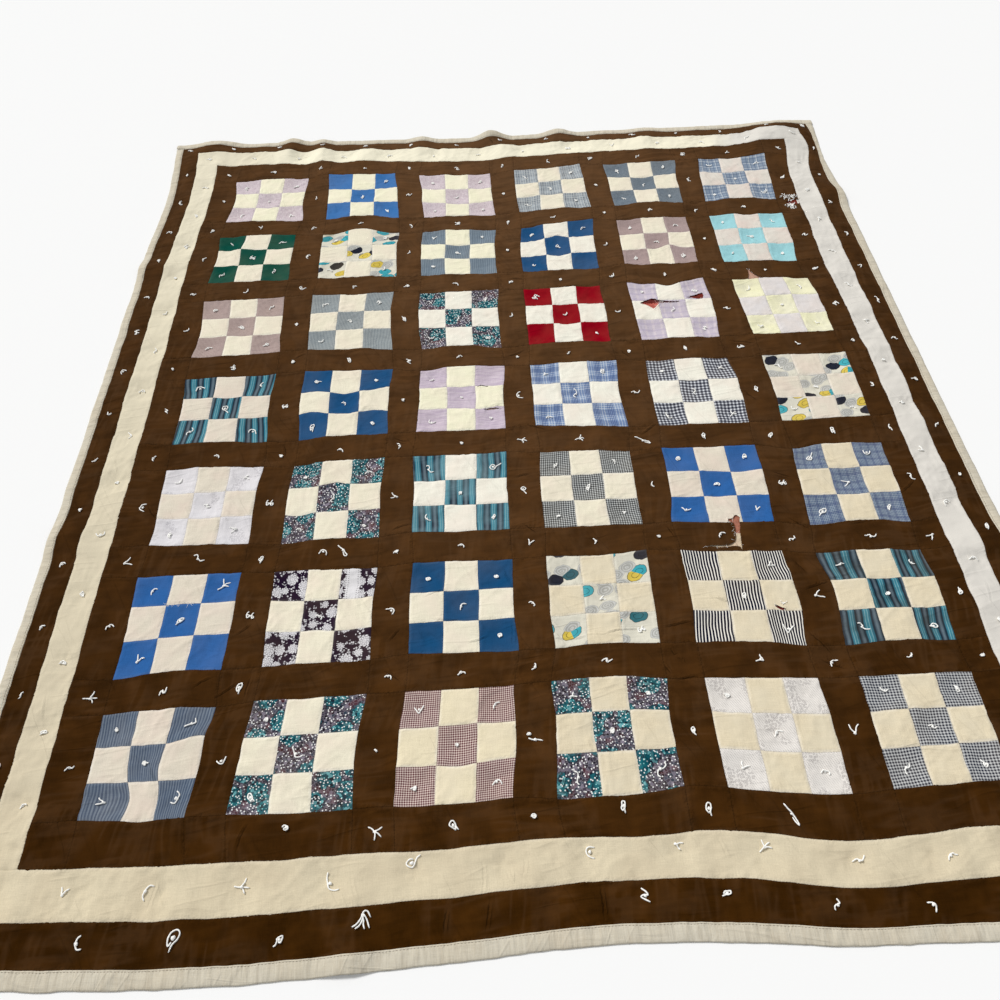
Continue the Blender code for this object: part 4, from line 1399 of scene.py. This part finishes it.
def makeBinding(side):
    # a strip folded round the quilt's edge and stitched down on top
    shape = bindingShape
    inner, outer = quilt[side][2], quilt[side][3]
    upright, sign = side in ("left", "right"), math.copysign(1, outer)
    if upright:
        low, high = quilt["foot"][2], quilt["head"][2]
    else:
        low, high = quilt["left"][3], quilt["right"][3]
    along = even(low, high, shape["step"])
    width = abs(outer - inner)
    # the strip's section: distance out from the inner edge, and which part of the fold is there
    profile = [(-0.0010, "tuck"), (0.0, "top"), (0.0012, "top")]
    profile += [(width * t, "top") for t in (0.16, 0.32, 0.48, 0.64, 0.80, 0.92)]
    profile += [(width, "fold"), (width - 0.0006, "under")]
    profile += [(width - shape["under"] / 2, "under"), (width - shape["under"], "under")]
    piece = cutCloth(f"binding_{side}_cloth", np.arange(len(profile), dtype=float), along)
    points = flatPoints(piece)
    index, station = np.rint(points[:, 0]).astype(int), points[:, 1].copy()
    out = np.array([p[0] for p in profile])[index]
    kind = np.array([p[1] for p in profile])[index]
    across = inner + sign * out
    u, v = (across, station) if upright else (station, across)
    # the pattern's coordinates follow the strip: along it, and out from its inner edge
    run = np.cumsum([0] + [abs(b[0] - a[0]) + 0.0005 for a, b in zip(profile, profile[1:])])[index]
    corners = cornerPoints(piece.data)
    setPattern(piece.data, np.stack([station[corners] + 3, run[corners]], 1))
    markPoints(piece.data, "seam", np.minimum(np.abs(out), farFromSeam))
    edge = np.full_like(u, inner)
    seamU, seamV = (edge, station) if upright else (station, edge)
    start = topHeight(seamU, seamV) - lift(seamU, seamV) + shape["over"]
    t = np.clip(out / width, 0, 1)
    body = start * (1 - t) + shape["thick"] * 0.7 * t + shape["bulge"] * np.sin(np.pi * t)
    ripple = softNoise(station / 0.010, out / 0.030, 51) + 0.6 * softNoise(station / 0.024, out / 0.05, 52)
    body += shape["pucker"] * ripple * np.clip(t * 4, 0, 1)
    heights = {"tuck": start - shape["tuck"], "top": body, "fold": np.full_like(u, shape["fold"])}
    height = np.select([kind == name for name in heights], list(heights.values()), shape["below"])
    points[:, 0], points[:, 1] = pulled(u, v)
    points[:, 2] = lift(u, v) + np.maximum(height, shape["lowest"])
    setPoints(piece, points)
    if upright != (sign > 0):
        turnOver(piece)
    piece.data.shade_smooth()
    piece.data.materials.append(fabric("bindingMuslin"))
    dress(piece, "binding_muslin", f"binding_{side}")


backingShape = {
    "inset": 0.006,          # from the folded edge
    "step": 0.019,
    "clear": 0.0002,         # of the floor
}


def makeBacking():
    inset, step = backingShape["inset"], backingShape["step"]
    left, right = quilt["left"][3] + inset, quilt["right"][3] - inset
    foot, head = quilt["foot"][3] + inset, quilt["head"][3] - inset
    piece = cutCloth("backing_cloth", even(left, right, step), even(foot, head, step))
    markCloth(piece, oneShift(500))
    settle(piece, lambda u, v: lift(u, v) + backingShape["clear"])
    turnOver(piece)
    piece.data.materials.append(fabric("backingMuslin"))
    dress(piece, "binding_muslin", "quilt_field")


liningShape = {
    "step": 0.0025,
    "below": 0.0026,         # under the top cloth
    "waves": 0.0007,
    "waveLength": 0.006,
    "clear": 0.0008,         # of the quilt's underside
}


def liningHeight(u, v):
    shape = liningShape
    waves = shape["waves"] * softNoise(u / shape["waveLength"], v / shape["waveLength"], 61)
    return np.maximum(topHeight(u, v) - shape["below"] + waves, lift(u, v) + shape["clear"])


def makeLinings():
    # what shows through the tears, a little under the top cloth
    count = 0
    for tear in tears:
        for cloth, ((left, low), (right, high)) in tear["linings"]:
            count += 1
            uLines, vLines = even(left, right, liningShape["step"]), even(low, high, liningShape["step"])
            piece = cutCloth(f"lining_{count}", uLines, vLines)
            markCloth(piece, oneShift(600 + count))
            settle(piece, liningHeight)
            piece.data.materials.append(fabric(cloth))
            dress(piece, "cream_muslin", "quilt_field")
            right - left
            high - low


frays = {
    "thread": 0.00022,       # radius
    "fibre": 0.00085,        # and a wadding fibre's
    "length": (0.004, 0.011),
    "brownShare": 0.6,       # where brown cloth is torn
    "seamCount": 34,         # along one seam
    "seamLength": (0.003, 0.008),
    "arch": 0.0009,          # how high a thread stands off the cloth
}


def makeFrays():
    # loose threads along the torn edges and one seam, then tufts of wadding
    rng = np.random.default_rng(88)
    pale, brown = StringWork(), StringWork()
    for tear in tears:
        outline = tear["outline"]
        inBrown = tear["through"][0].startswith("sash")
        for _ in range(tear["threads"]):
            k, t = rng.integers(len(outline)), rng.uniform()
            (aU, aV), (bU, bV) = outline[k], outline[(k + 1) % len(outline)]
            u, v = aU + (bU - aU) * t, aV + (bV - aV) * t
            work = brown if inBrown and rng.uniform() < frays["brownShare"] else pale
            looseThread(work, u, v, rng, rng.uniform(*frays["length"]), frays["thread"])
    for _ in range(frays["seamCount"]):
        # over the middle patch of the block at the left, second from the foot
        u, v = fromBlock(5, 0, [(rng.uniform(-34, 36), 32 + rng.normal(0, 1))])[0]
        looseThread(pale, u, v, rng, rng.uniform(*frays["seamLength"]), frays["thread"])
    for atU, atV, count, spread in tufts:
        for _ in range(count):
            u, v = rng.normal(atU, spread / 2), rng.normal(atV, spread / 2)
            looseThread(pale, u, v, rng, rng.uniform(0.5, 1.2) * spread, frays["fibre"])
    string = stringCloth("frayed_thread", 0.0)
    dress(pale.finish("pale_frays", string), "tie_string")
    dress(brown.finish("brown_frays", fabric("brownThread")), "brown_sashing")


def looseThread(work, u, v, rng, length, radius):
    heading, bend = rng.uniform(0, 2 * math.pi), rng.normal(0, 1.2)
    t = np.linspace(0, 1, 6)
    turn = heading + bend * t
    du, dv = np.cumsum(np.cos(turn)) * length / len(t), np.cumsum(np.sin(turn)) * length / len(t)
    x, y = pulled(u + du, v + dv)
    z = topHeight(u + du, v + dv) + radius + frays["arch"] * np.sin(np.pi * t) * rng.uniform(0, 1)
    radii = np.full(len(t), radius)
    radii[-1] *= 0.5
    work.add(*tube(np.stack([x, y, z], 1), radii, 4))


# places of loose wadding: where, how many fibres, how far they spread
tufts = [
    (0.772, 0.688, 20, 0.010), (0.788, 0.686, 16, 0.009), (0.777, 0.654, 20, 0.010),
    (0.782, 0.641, 9, 0.007), (0.4560, -0.5380, 7, 0.005),
]


tieString = {
    "thick": 0.0025,
    "knot": (0.0028, 0.0023, 0.0019),
    "dye": dye(255, 254, 250),
    "jitter": 0.004,         # how far a tie strays from its place
    "sizes": (0.7, 1.0),
    "wobble": 0.0006,        # how far a strand strays from its shape
    "rise": 0.0016,          # how high the strands stand at the knot
    "riseReach": 0.005,
    "wave": 0.0005,
    "endShare": 0.72,        # thickness of both ends
}
# each tie's strands, as it lies, in millimetres along and across
tieShapes = {
    "hook": [[(-9, 3), (-5, 5), (-1, 3), (0, 0), (4, -2), (8, -1), (11, 2)]],
    "loop": [[(-10, -4), (-5, -3), (0, -3), (4, -1), (5, 3), (1, 5), (-2, 3), (-1, -1), (3, -4), (8, -5)]],
    "comma": [[(-6, 6), (-2, 4), (1, 1), (2, -3), (0, -7), (-3, -10)]],
    "fork": [[(-1, -1), (2, 1), (6, 3), (11, 5)], [(-1, 1), (3, -2), (7, -5), (10, -8)]],
    "curl": [[(-3, -2), (0, -4), (4, -3), (5, 1), (2, 4), (-2, 3), (-4, 0), (-8, -3), (-12, -4)]],
    "dash": [[(-9, 2), (-4, 0), (0, 0), (4, 1), (9, 0)]],
    "zed": [[(-9, 4), (-3, 4), (2, 3), (-1, 0), (-3, -3), (3, -4), (9, -3)]],
    "bow": [[(-8, -6), (-6, -1), (-1, 1), (3, 1), (8, -1), (10, -6)]],
    "pair": [
        [(-4, 8), (-7, 3), (-6, -4), (-2, -4), (-3, 1), (-6, 0)],
        [(6, 8), (3, 3), (4, -4), (8, -4), (7, 1), (4, 0)]],
    "blob": [[(-5, 1), (-2, 3), (2, 2), (3, -1), (0, -3), (-3, -1), (-1, 1)]],
    "eye": [[(-3, -1), (-6, 0), (-3, 3), (2, 3), (6, 1), (6, -2), (1, -3), (-4, -2), (-9, -3)]],
    "vee": [[(-9, 6), (-5, 0), (-1, -6), (2, -3), (6, 3), (9, 6)]],
    "ell": [[(-3, 11), (-3, 4), (-2, -2), (0, -6), (5, -7), (10, -6)]],
    "hoop": [[(-8, -6), (-7, 0), (-3, 4), (3, 4), (7, 0), (8, -5)]],
    "star": [
        [(-12, 3), (-6, 2), (0, 0)], [(0, 0), (5, 5), (9, 10)],
        [(0, 0), (6, -1), (12, -4)], [(0, 0), (3, -5), (4, -10)]],
    "spray": [
        [(0, 0), (-4, -7), (-11, -13), (-17, -17)], [(1, 0), (-1, -8), (-6, -15), (-11, -19)],
        [(0, 1), (2, -7), (1, -14), (2, -20)], [(1, 0), (5, -6), (8, -12), (9, -19)],
        [(-1, 1), (3, 5), (8, 3), (11, -4)]],
    "needle": [[(-17, 6), (-8, 3), (0, 0), (8, -3), (13, -6), (14, -9), (9, -8), (2, -4)]],
}
# the ties that show best, by quarters of a block's pitch from the middle: shape, heading and size
tieLooks = {
    (-12, -4): ("hoop", 80, 1.1), (-8, -4): ("pair", -6, 1.0), (-4, -4): ("fork", 175, 1.1),
    (0, -4): ("curl", 100, 1.1), (4, -4): ("comma", 170, 0.7), (8, -4): ("pair", 8, 0.8),
    (-11, -3): ("comma", 300, 1.0), (-9, -3): ("fork", 20, 0.8), (-10, -4): ("zed", 0, 0.9),
    (-11, -5): ("eye", 90, 0.8), (-9, -5): ("fork", 200, 1.0), (-7, -3): ("blob", 20, 1.0),
    (-5, -3): ("comma", 90, 0.9), (-6, -4): ("hook", 105, 1.1), (-7, -5): ("comma", 60, 0.8),
    (-5, -5): ("blob", 0, 0.8), (-3, -3): ("hook", -45, 1.1), (-1, -3): ("curl", 180, 1.4),
    (-2, -4): ("blob", 80, 0.9), (-3, -5): ("comma", 200, 1.0), (-1, -5): ("eye", 60, 0.7),
    (1, -3): ("zed", 90, 0.8), (3, -3): ("comma", 20, 0.7), (2, -4): ("eye", 75, 0.9),
    (1, -5): ("eye", 20, 0.6), (3, -5): ("blob", 0, 0.7), (5, -3): ("blob", 80, 1.2),
    (7, -3): ("blob", 70, 1.2), (6, -4): ("eye", 0, 0.8), (5, -5): ("comma", 250, 1.0),
    (7, -5): ("fork", 70, 0.7), (9, -3): ("curl", 220, 1.2), (10, -4): ("fork", 205, 1.2),
    (9, -5): ("eye", 35, 1.3), (-10, -2): ("comma", 40, 0.8), (-8, -2): ("blob", 0, 1.0),
    (-6, -2): ("comma", 60, 0.8), (-4, -2): ("comma", 10, 0.9), (-2, -2): ("blob", 0, 0.8),
    (0, -2): ("star", 0, 0.8), (2, -2): ("star", 30, 0.8), (4, -2): ("needle", -6, 1.2),
    (6, -2): ("eye", 90, 0.9), (8, -2): ("eye", 60, 0.8), (10, -2): ("eye", 100, 1.0),
    (-12, -6): ("fork", 30, 1.2), (-10, -6): ("hook", -25, 1.2), (-8, -6): ("eye", 75, 1.0),
    (-6, -6): ("hoop", -30, 0.9), (-4, -6): ("blob", 50, 1.1), (-2, -6): ("comma", 60, 0.8),
    (0, -6): ("fork", 70, 0.9), (2, -6): ("comma", 0, 0.7), (4, -6): ("blob", 0, 0.9),
    (6, -6): ("comma", 110, 0.8), (8, -6): ("hook", 60, 0.8), (10, -6): ("hook", 15, 1.1),
    (-11, 1): ("hoop", 15, 1.1), (-9, 1): ("comma", 160, 0.8), (-10, 0): ("curl", 100, 1.4),
    (-11, -1): ("hook", 70, 1.0), (-9, -1): ("hoop", -20, 1.0), (-7, 1): ("curl", 160, 0.8),
    (-5, 1): ("blob", 0, 0.8), (-6, 0): ("comma", 30, 0.7), (-7, -1): ("eye", 70, 1.1),
    (-5, -1): ("blob", 10, 1.0), (-8, 0): ("pair", 4, 0.8), (-3, 1): ("dash", 20, 0.7),
    (-2, 0): ("blob", 0, 0.6), (-3, -1): ("hoop", 150, 0.9), (-1, -1): ("blob", 0, 0.7),
    (-4, 0): ("blob", 140, 0.8), (-2, 2): ("comma", 100, 0.8), (0, 0): ("hoop", 100, 1.1),
    (1, 1): ("fork", 60, 0.7), (3, 1): ("eye", 80, 1.0), (2, 0): ("hook", 95, 1.3),
    (1, -1): ("comma", 90, 0.9), (2, 2): ("dash", 50, 0.7), (4, 0): ("hook", 20, 1.0),
    (5, 1): ("blob", 0, 1.0), (7, 1): ("fork", 10, 0.9), (6, 0): ("hook", 110, 0.9),
    (5, -1): ("ell", 0, 0.9), (7, -1): ("star", 60, 0.8), (4, 2): ("blob", 0, 1.0),
    (6, 2): ("eye", 90, 0.7), (8, 0): ("eye", 85, 0.9), (8, 2): ("pair", 20, 0.6),
    (9, -1): ("comma", 240, 0.9), (11, -1): ("comma", 70, 0.9), (-11, -7): ("comma", 130, 0.9),
    (-9, -7): ("star", 50, 1.1), (-10, -8): ("eye", 30, 1.1), (-11, -9): ("fork", 65, 1.1),
    (-8, -8): ("pair", -12, 0.9), (-4, -8): ("hoop", -50, 1.0), (-3, -7): ("blob", 0, 1.0),
    (-1, -7): ("blob", 60, 0.9), (-2, -8): ("comma", 130, 0.9), (-1, -9): ("blob", 90, 0.9),
    (0, -8): ("comma", 30, 0.8), (2, -8): ("fork", 30, 0.8), (7, -7): ("fork", 40, 1.0),
    (6, -8): ("eye", 75, 0.9), (7, -9): ("vee", 0, 1.2), (8, -8): ("fork", 25, 1.2),
    (9, -7): ("dash", 20, 0.9), (9, -9): ("hook", -30, 1.1), (2, -10): ("zed", 30, 1.0),
    (-2, -10): ("comma", 90, 0.8), (-4, -10): ("comma", 60, 0.8), (6, -10): ("vee", 60, 0.8),
    (-12, -10): ("star", 20, 1.0), (-8, -10): ("eye", 70, 1.3), (-8, -12): ("hoop", 200, 1.0),
    (-9, -11): ("ell", 100, 0.9), (-9, -13): ("hoop", 240, 1.2), (-7, -11): ("blob", 30, 1.1),
    (-6, -12): ("ell", 20, 1.1), (-7, -13): ("eye", 120, 1.1), (-4, -12): ("blob", 0, 0.6),
    (-3, -11): ("vee", 10, 0.9), (-1, -11): ("comma", 120, 0.9), (-2, -12): ("blob", 0, 0.7),
    (-3, -13): ("blob", 30, 1.0), (-1, -13): ("comma", 80, 1.1), (0, -12): ("dash", -8, 1.4),
    (1, -11): ("fork", 30, 0.8), (3, -11): ("blob", 20, 0.9), (2, -12): ("blob", 60, 1.1),
    (1, -13): ("hook", 120, 1.1), (3, -13): ("hook", 250, 1.3), (4, -12): ("eye", 85, 0.9),
    (5, -11): ("blob", 0, 1.0), (6, -12): ("comma", 110, 1.0), (5, -13): ("fork", 60, 0.9),
    (7, -13): ("comma", 60, 0.9), (8, -12): ("fork", 95, 1.3), (8, -10): ("comma", 120, 1.2),
    (-12, -8): ("comma", 100, 0.9),
}
# and those sewn by hand elsewhere: where, shape, heading and size
placedTies = [
    (-0.394, -0.898, "blob", 0, 1.1), (-0.258, -0.913, "star", -20, 1.1), (-0.134, -0.908, "eye", 120, 1.2),
    (-0.005, -0.905, "blob", 30, 1.1), (0.127, -0.892, "eye", 80, 1.2), (0.259, -0.910, "eye", 85, 1.2),
    (0.385, -0.908, "needle", -38, 1.0), (-0.613, -0.977, "bow", 60, 1.2),
    (-0.459, -0.978, "star", 10, 1.0), (-0.326, -0.982, "ell", 0, 1.4), (-0.200, -0.961, "curl", 200, 1.5),
    (0.067, -0.969, "hoop", 80, 1.2), (0.197, -0.961, "fork", -20, 1.0), (0.331, -0.966, "star", 60, 0.9),
    (0.470, -0.974, "hook", 30, 1.0), (0.610, -0.980, "comma", 100, 1.0), (0.740, -0.984, "loop", 20, 1.0),
    (-0.740, -0.980, "fork", 80, 1.0), (-0.558, -1.041, "eye", 58, 1.9), (-0.399, -1.051, "curl", 30, 1.0),
    (-0.277, -1.029, "spray", 0, 1.0), (0.141, -1.040, "zed", -40, 1.2), (0.262, -1.038, "eye", 10, 0.9),
    (0.420, -1.046, "hook", 80, 1.0), (0.560, -1.050, "comma", 20, 1.0), (0.700, -1.050, "fork", 120, 1.0),
    (-0.700, -1.046, "bow", 100, 1.0), (-0.840, -1.040, "dash", 30, 1.0),
    (-0.399, -0.384, "hoop", -20, 0.9), (-0.360, -0.384, "needle", -24, 0.9),
    (-0.012, -0.775, "blob", 20, 0.8), (0.372, -0.384, "comma", 120, 1.0),
]


def threadLine(points, steps):
    # a smooth line through given points
    points = np.array(points, float)
    padded = np.vstack([2 * points[0] - points[1], points, 2 * points[-1] - points[-2]])
    line = []
    for a, b, c, d in zip(padded, padded[1:], padded[2:], padded[3:]):
        for k in range(steps):
            t = k / steps
            spot = 2 * b + (c - a) * t + (2 * a - 5 * b + 4 * c - d) * t**2
            line.append(0.5 * (spot + (3 * b - a - 3 * c + d) * t**3))
    return np.array(line + [points[-1]])


def tube(line, radii, sides=5):
    # rings of points round a line, closed at both ends
    along = np.gradient(line, axis=0)
    along /= np.linalg.norm(along, axis=1)[:, None] + 1e-12
    side = np.cross(along, (0, 0, 1.0))
    side /= np.linalg.norm(side, axis=1)[:, None] + 1e-12
    up = np.cross(side, along)
    points, faces = [], []
    for k in range(sides):
        turn = 2 * math.pi * k / sides
        points.append(line + (side * math.cos(turn) + up * math.sin(turn)) * radii[:, None])
    points = np.stack(points, 1).reshape(-1, 3)
    count = len(line)
    for i in range(count - 1):
        for k in range(sides):
            a, b = i * sides + k, i * sides + (k + 1) % sides
            faces.append((a, b, b + sides, a + sides))
    faces.append(tuple(range(sides))[::-1])
    faces.append(tuple((count - 1) * sides + k for k in range(sides)))
    return points, faces


def knotLump(middle, size, turn):
    points, faces, rings, around = [], [], 5, 8
    for i in range(1, rings):
        high = math.pi * i / rings
        for k in range(around):
            a = 2 * math.pi * k / around
            bulge = 1 + 0.18 * math.sin(3 * a + 2 * high)
            x = math.cos(a) * math.sin(high) * size[0] * bulge
            y = math.sin(a) * math.sin(high) * size[1] * bulge
            along, across = x * math.cos(turn) - y * math.sin(turn), x * math.sin(turn) + y * math.cos(turn)
            points.append((along, across, math.cos(high) * size[2]))
    points += [(0, 0, size[2]), (0, 0, -size[2])]
    for i in range(rings - 2):
        for k in range(around):
            a, b = i * around + k, i * around + (k + 1) % around
            faces.append((a, a + around, b + around, b))
    top, bottom, last = len(points) - 2, len(points) - 1, (rings - 2) * around
    for k in range(around):
        faces.append((top, k, (k + 1) % around))
        faces.append((bottom, last + (k + 1) % around, last + k))
    return np.array(points) + middle, faces


class StringWork:
    # gathers many small strings into one mesh
    def __init__(self):
        self.points, self.faces, self.total = [], [], 0

    def add(self, points, faces):
        self.faces += [tuple(self.total + k for k in face) for face in faces]
        self.points.append(points)
        self.total += len(points)

    def finish(self, name, material):
        mesh = bpy.data.meshes.new(name)
        mesh.from_pydata(np.concatenate(self.points).tolist(), [], self.faces)
        mesh.validate()
        mesh.shade_smooth()
        mesh.materials.append(material)
        piece = bpy.data.objects.new(name, mesh)
        bpy.context.collection.objects.link(piece)
        return piece


def addTie(work, u, v, shape, heading, scale):
    rng = np.random.default_rng(int(1e6 + u * 7000 + v * 90000) % 2**31)
    turn = math.radians(heading)
    radius = tieString["thick"] / 2
    for strand in tieShapes[shape]:
        flat = np.array(strand, float) * millimetre * scale
        flat += rng.normal(0, tieString["wobble"], flat.shape)
        line = threadLine(flat, 3)
        du = line[:, 0] * math.cos(turn) - line[:, 1] * math.sin(turn)
        dv = line[:, 0] * math.sin(turn) + line[:, 1] * math.cos(turn)
        x, y = pulled(u + du, v + dv)
        near = np.hypot(line[:, 0], line[:, 1])
        rise = tieString["rise"] * np.exp(-((near / tieString["riseReach"]) ** 2))
        z = topHeight(u + du, v + dv) + radius * 0.8 + rise
        z += tieString["wave"] * np.sin(np.arange(len(line)) * 0.9 + heading)
        radii = np.full(len(line), radius)
        radii[[0, -1]] *= tieString["endShare"]
        radii *= 1 + 0.10 * np.sin(np.arange(len(line)) * 2.1)
        work.add(*tube(np.stack([x, y, z], 1), radii))
    x, y = pulled(np.array([u]), np.array([v]))
    z = topHeight(np.array([u]), np.array([v])) + tieString["knot"][2] * 0.8
    work.add(*knotLump(np.array([x[0], y[0], z[0]]), np.array(tieString["knot"]) * scale**0.5, turn))


def stringCloth(name="tie_string", soiled=0.05):
    recipe = Recipe(name)
    place = recipe.node("ShaderNodeTexCoord", {}, out=3)
    fuzz = recipe.node("ShaderNodeTexNoise", {}, {"Vector": place, "Scale": 900.0, "Detail": 3.0})
    grime = recipe.node("ShaderNodeTexNoise", {}, {"Vector": place, "Scale": 160.0, "Detail": 2.0})
    colour = recipe.mix(recipe.clipped(grime * 1.6 - 0.45) * soiled, tieString["dye"], dye(206, 200, 186))
    return recipe.finish(colour, fuzz * 0.2 + 0.7, fuzz * 0.00012, 0.2)


# corner patches without a tie: row, column, then which corner, counted right and up
bareCorners = {
    (0, 1, -1, 1), (0, 1, -1, -1), (2, 3, 1, 1), (2, 3, -1, -1), (1, 2, 1, -1), (1, 3, 1, -1),
    (2, 1, 1, -1), (5, 0, 1, -1), (5, 2, -1, -1), (5, 4, -1, 1), (5, 4, -1, -1), (2, 4, -1, -1),
    (3, 3, 1, -1), (3, 2, 1, 1), (5, 1, -1, 1), (5, 1, 1, 1), (5, 1, 1, -1), (5, 1, -1, -1), (3, 5, 1, 1),
    (5, 3, 1, 1), (5, 3, -1, 1), (5, 3, -1, -1), (6, 1, 1, 1), (6, 1, 1, -1), (6, 4, 1, 1),
}


# places on the sashing without a tie, by quarters of a block's pitch from the middle
bareSashing = {(4, -8), (-6, -10), (4, -10), (-6, -6), (6, -6)}
# how often each shape comes where none is set
tieMix = {
    "blob": 4, "comma": 4, "eye": 2.5, "hook": 2, "fork": 1.5, "zed": 1, "hoop": 1.5, "curl": 1.5,
    "pair": 0.8, "bow": 1, "dash": 1,
}


def makeTies():
    string = stringCloth()
    names, weights = list(tieMix), np.array(list(tieMix.values()))
    rng = np.random.default_rng(77)
    works = {key: StringWork() for key in [*range(rows), "sashing", "border"]}
    for right in range(-14, 15):
        for up in range(-16, 17):
            if right % 2 != up % 2:
                continue
            u, v = right * pitch / 4, up * pitch / 4
            shape, heading = rng.choice(names, p=weights / weights.sum()), rng.uniform(0, 360)
            scale, jitter = rng.uniform(*tieString["sizes"]), rng.normal(0, tieString["jitter"] / 2, 2)
            shape, heading, scale = tieLooks.get((right, up), (shape, heading, scale))
            a, b = fromMiddle(np.array([u]), columns)[0], fromMiddle(np.array([v]), rows)[0]
            row = int(round((rows - 1) / 2 - (v - b) / pitch))
            column = int(round((u - a) / pitch + (columns - 1) / 2))
            if insideRing(np.array([u]), np.array([v]), 0)[0] < 0.004:
                # on the borders: keep it inside its own strip
                ring = right % 2 == 0
                low = (quilt["left"][ring] + quilt["left"][ring + 1]) / 2
                high = (quilt["right"][ring] + quilt["right"][ring + 1]) / 2
                top = (quilt["head"][ring] + quilt["head"][ring + 1]) / 2
                u, v = min(max(u, low), high), min(v, top)
                if up > -15:
                    addTie(works["border"], u + jitter[0] / 2, v + jitter[1] / 2, shape, heading, scale)
            elif right % 2:
                if (row, column, int(np.sign(a)), int(np.sign(b))) not in bareCorners:
                    addTie(works[row], u + jitter[0], v + jitter[1], shape, heading, scale)
            elif abs(a) < 0.01 and abs(b) < 0.01:
                addTie(works[row], u, v, shape, heading, scale)
            elif up > -14 and (right, up) not in bareSashing:
                addTie(works["sashing"], u + jitter[0], v + jitter[1], shape, heading, scale)
    for u, v, shape, heading, scale in placedTies:
        addTie(works["border"], u, v, shape, heading, scale)
    for key, work in works.items():
        name = f"ties_row_{key + 1}" if isinstance(key, int) else f"ties_{key}"
        piece = work.finish(name, string)
        nodes = [f"tie_r{key + 1}_c{c + 1}" for c in range(columns)] if isinstance(key, int) else []
        dress(piece, "tie_string", *nodes)
        print(name, len(piece.data.polygons), "faces")


def makeFloor(setup):
    bpy.ops.object.select_all(action="DESELECT")
    bpy.ops.mesh.primitive_plane_add(size=setup["floorSize"], location=(0, 0, -setup["floorDrop"]))
    floor = bpy.context.object
    floor.name = "floor"
    material = bpy.data.materials.new("pale_floor")
    material.use_nodes = True
    shader = material.node_tree.nodes["Principled BSDF"]
    shader.inputs["Base Color"].default_value = setup["floor"]
    shader.inputs["Roughness"].default_value = setup["floorRoughness"]
    shader.inputs["Specular IOR Level"].default_value = setup["floorShine"]
    floor.data.materials.append(material)


setCamera(cameraSetup)
setLight(lightSetup)
makeFloor(lightSetup)
print("camera, light and floor set")
for row in range(rows):
    for column in range(columns):
        makeBlock(row, column)
    print("blocks of row", row + 1, "sewn")
makeSashing()
print("sashing sewn")
makeBorder("cream_band", 0, "bandCream", "cream_muslin")
makeBorder("brown_border", 1, "borderBrown", "brown_cotton")
print("borders sewn")
for side in quiltSides:
    makeBinding(side)
makeBacking()
print("binding and backing on")
makeTies()
print("ties knotted")
makeLinings()
makeFrays()
print("tears frayed")
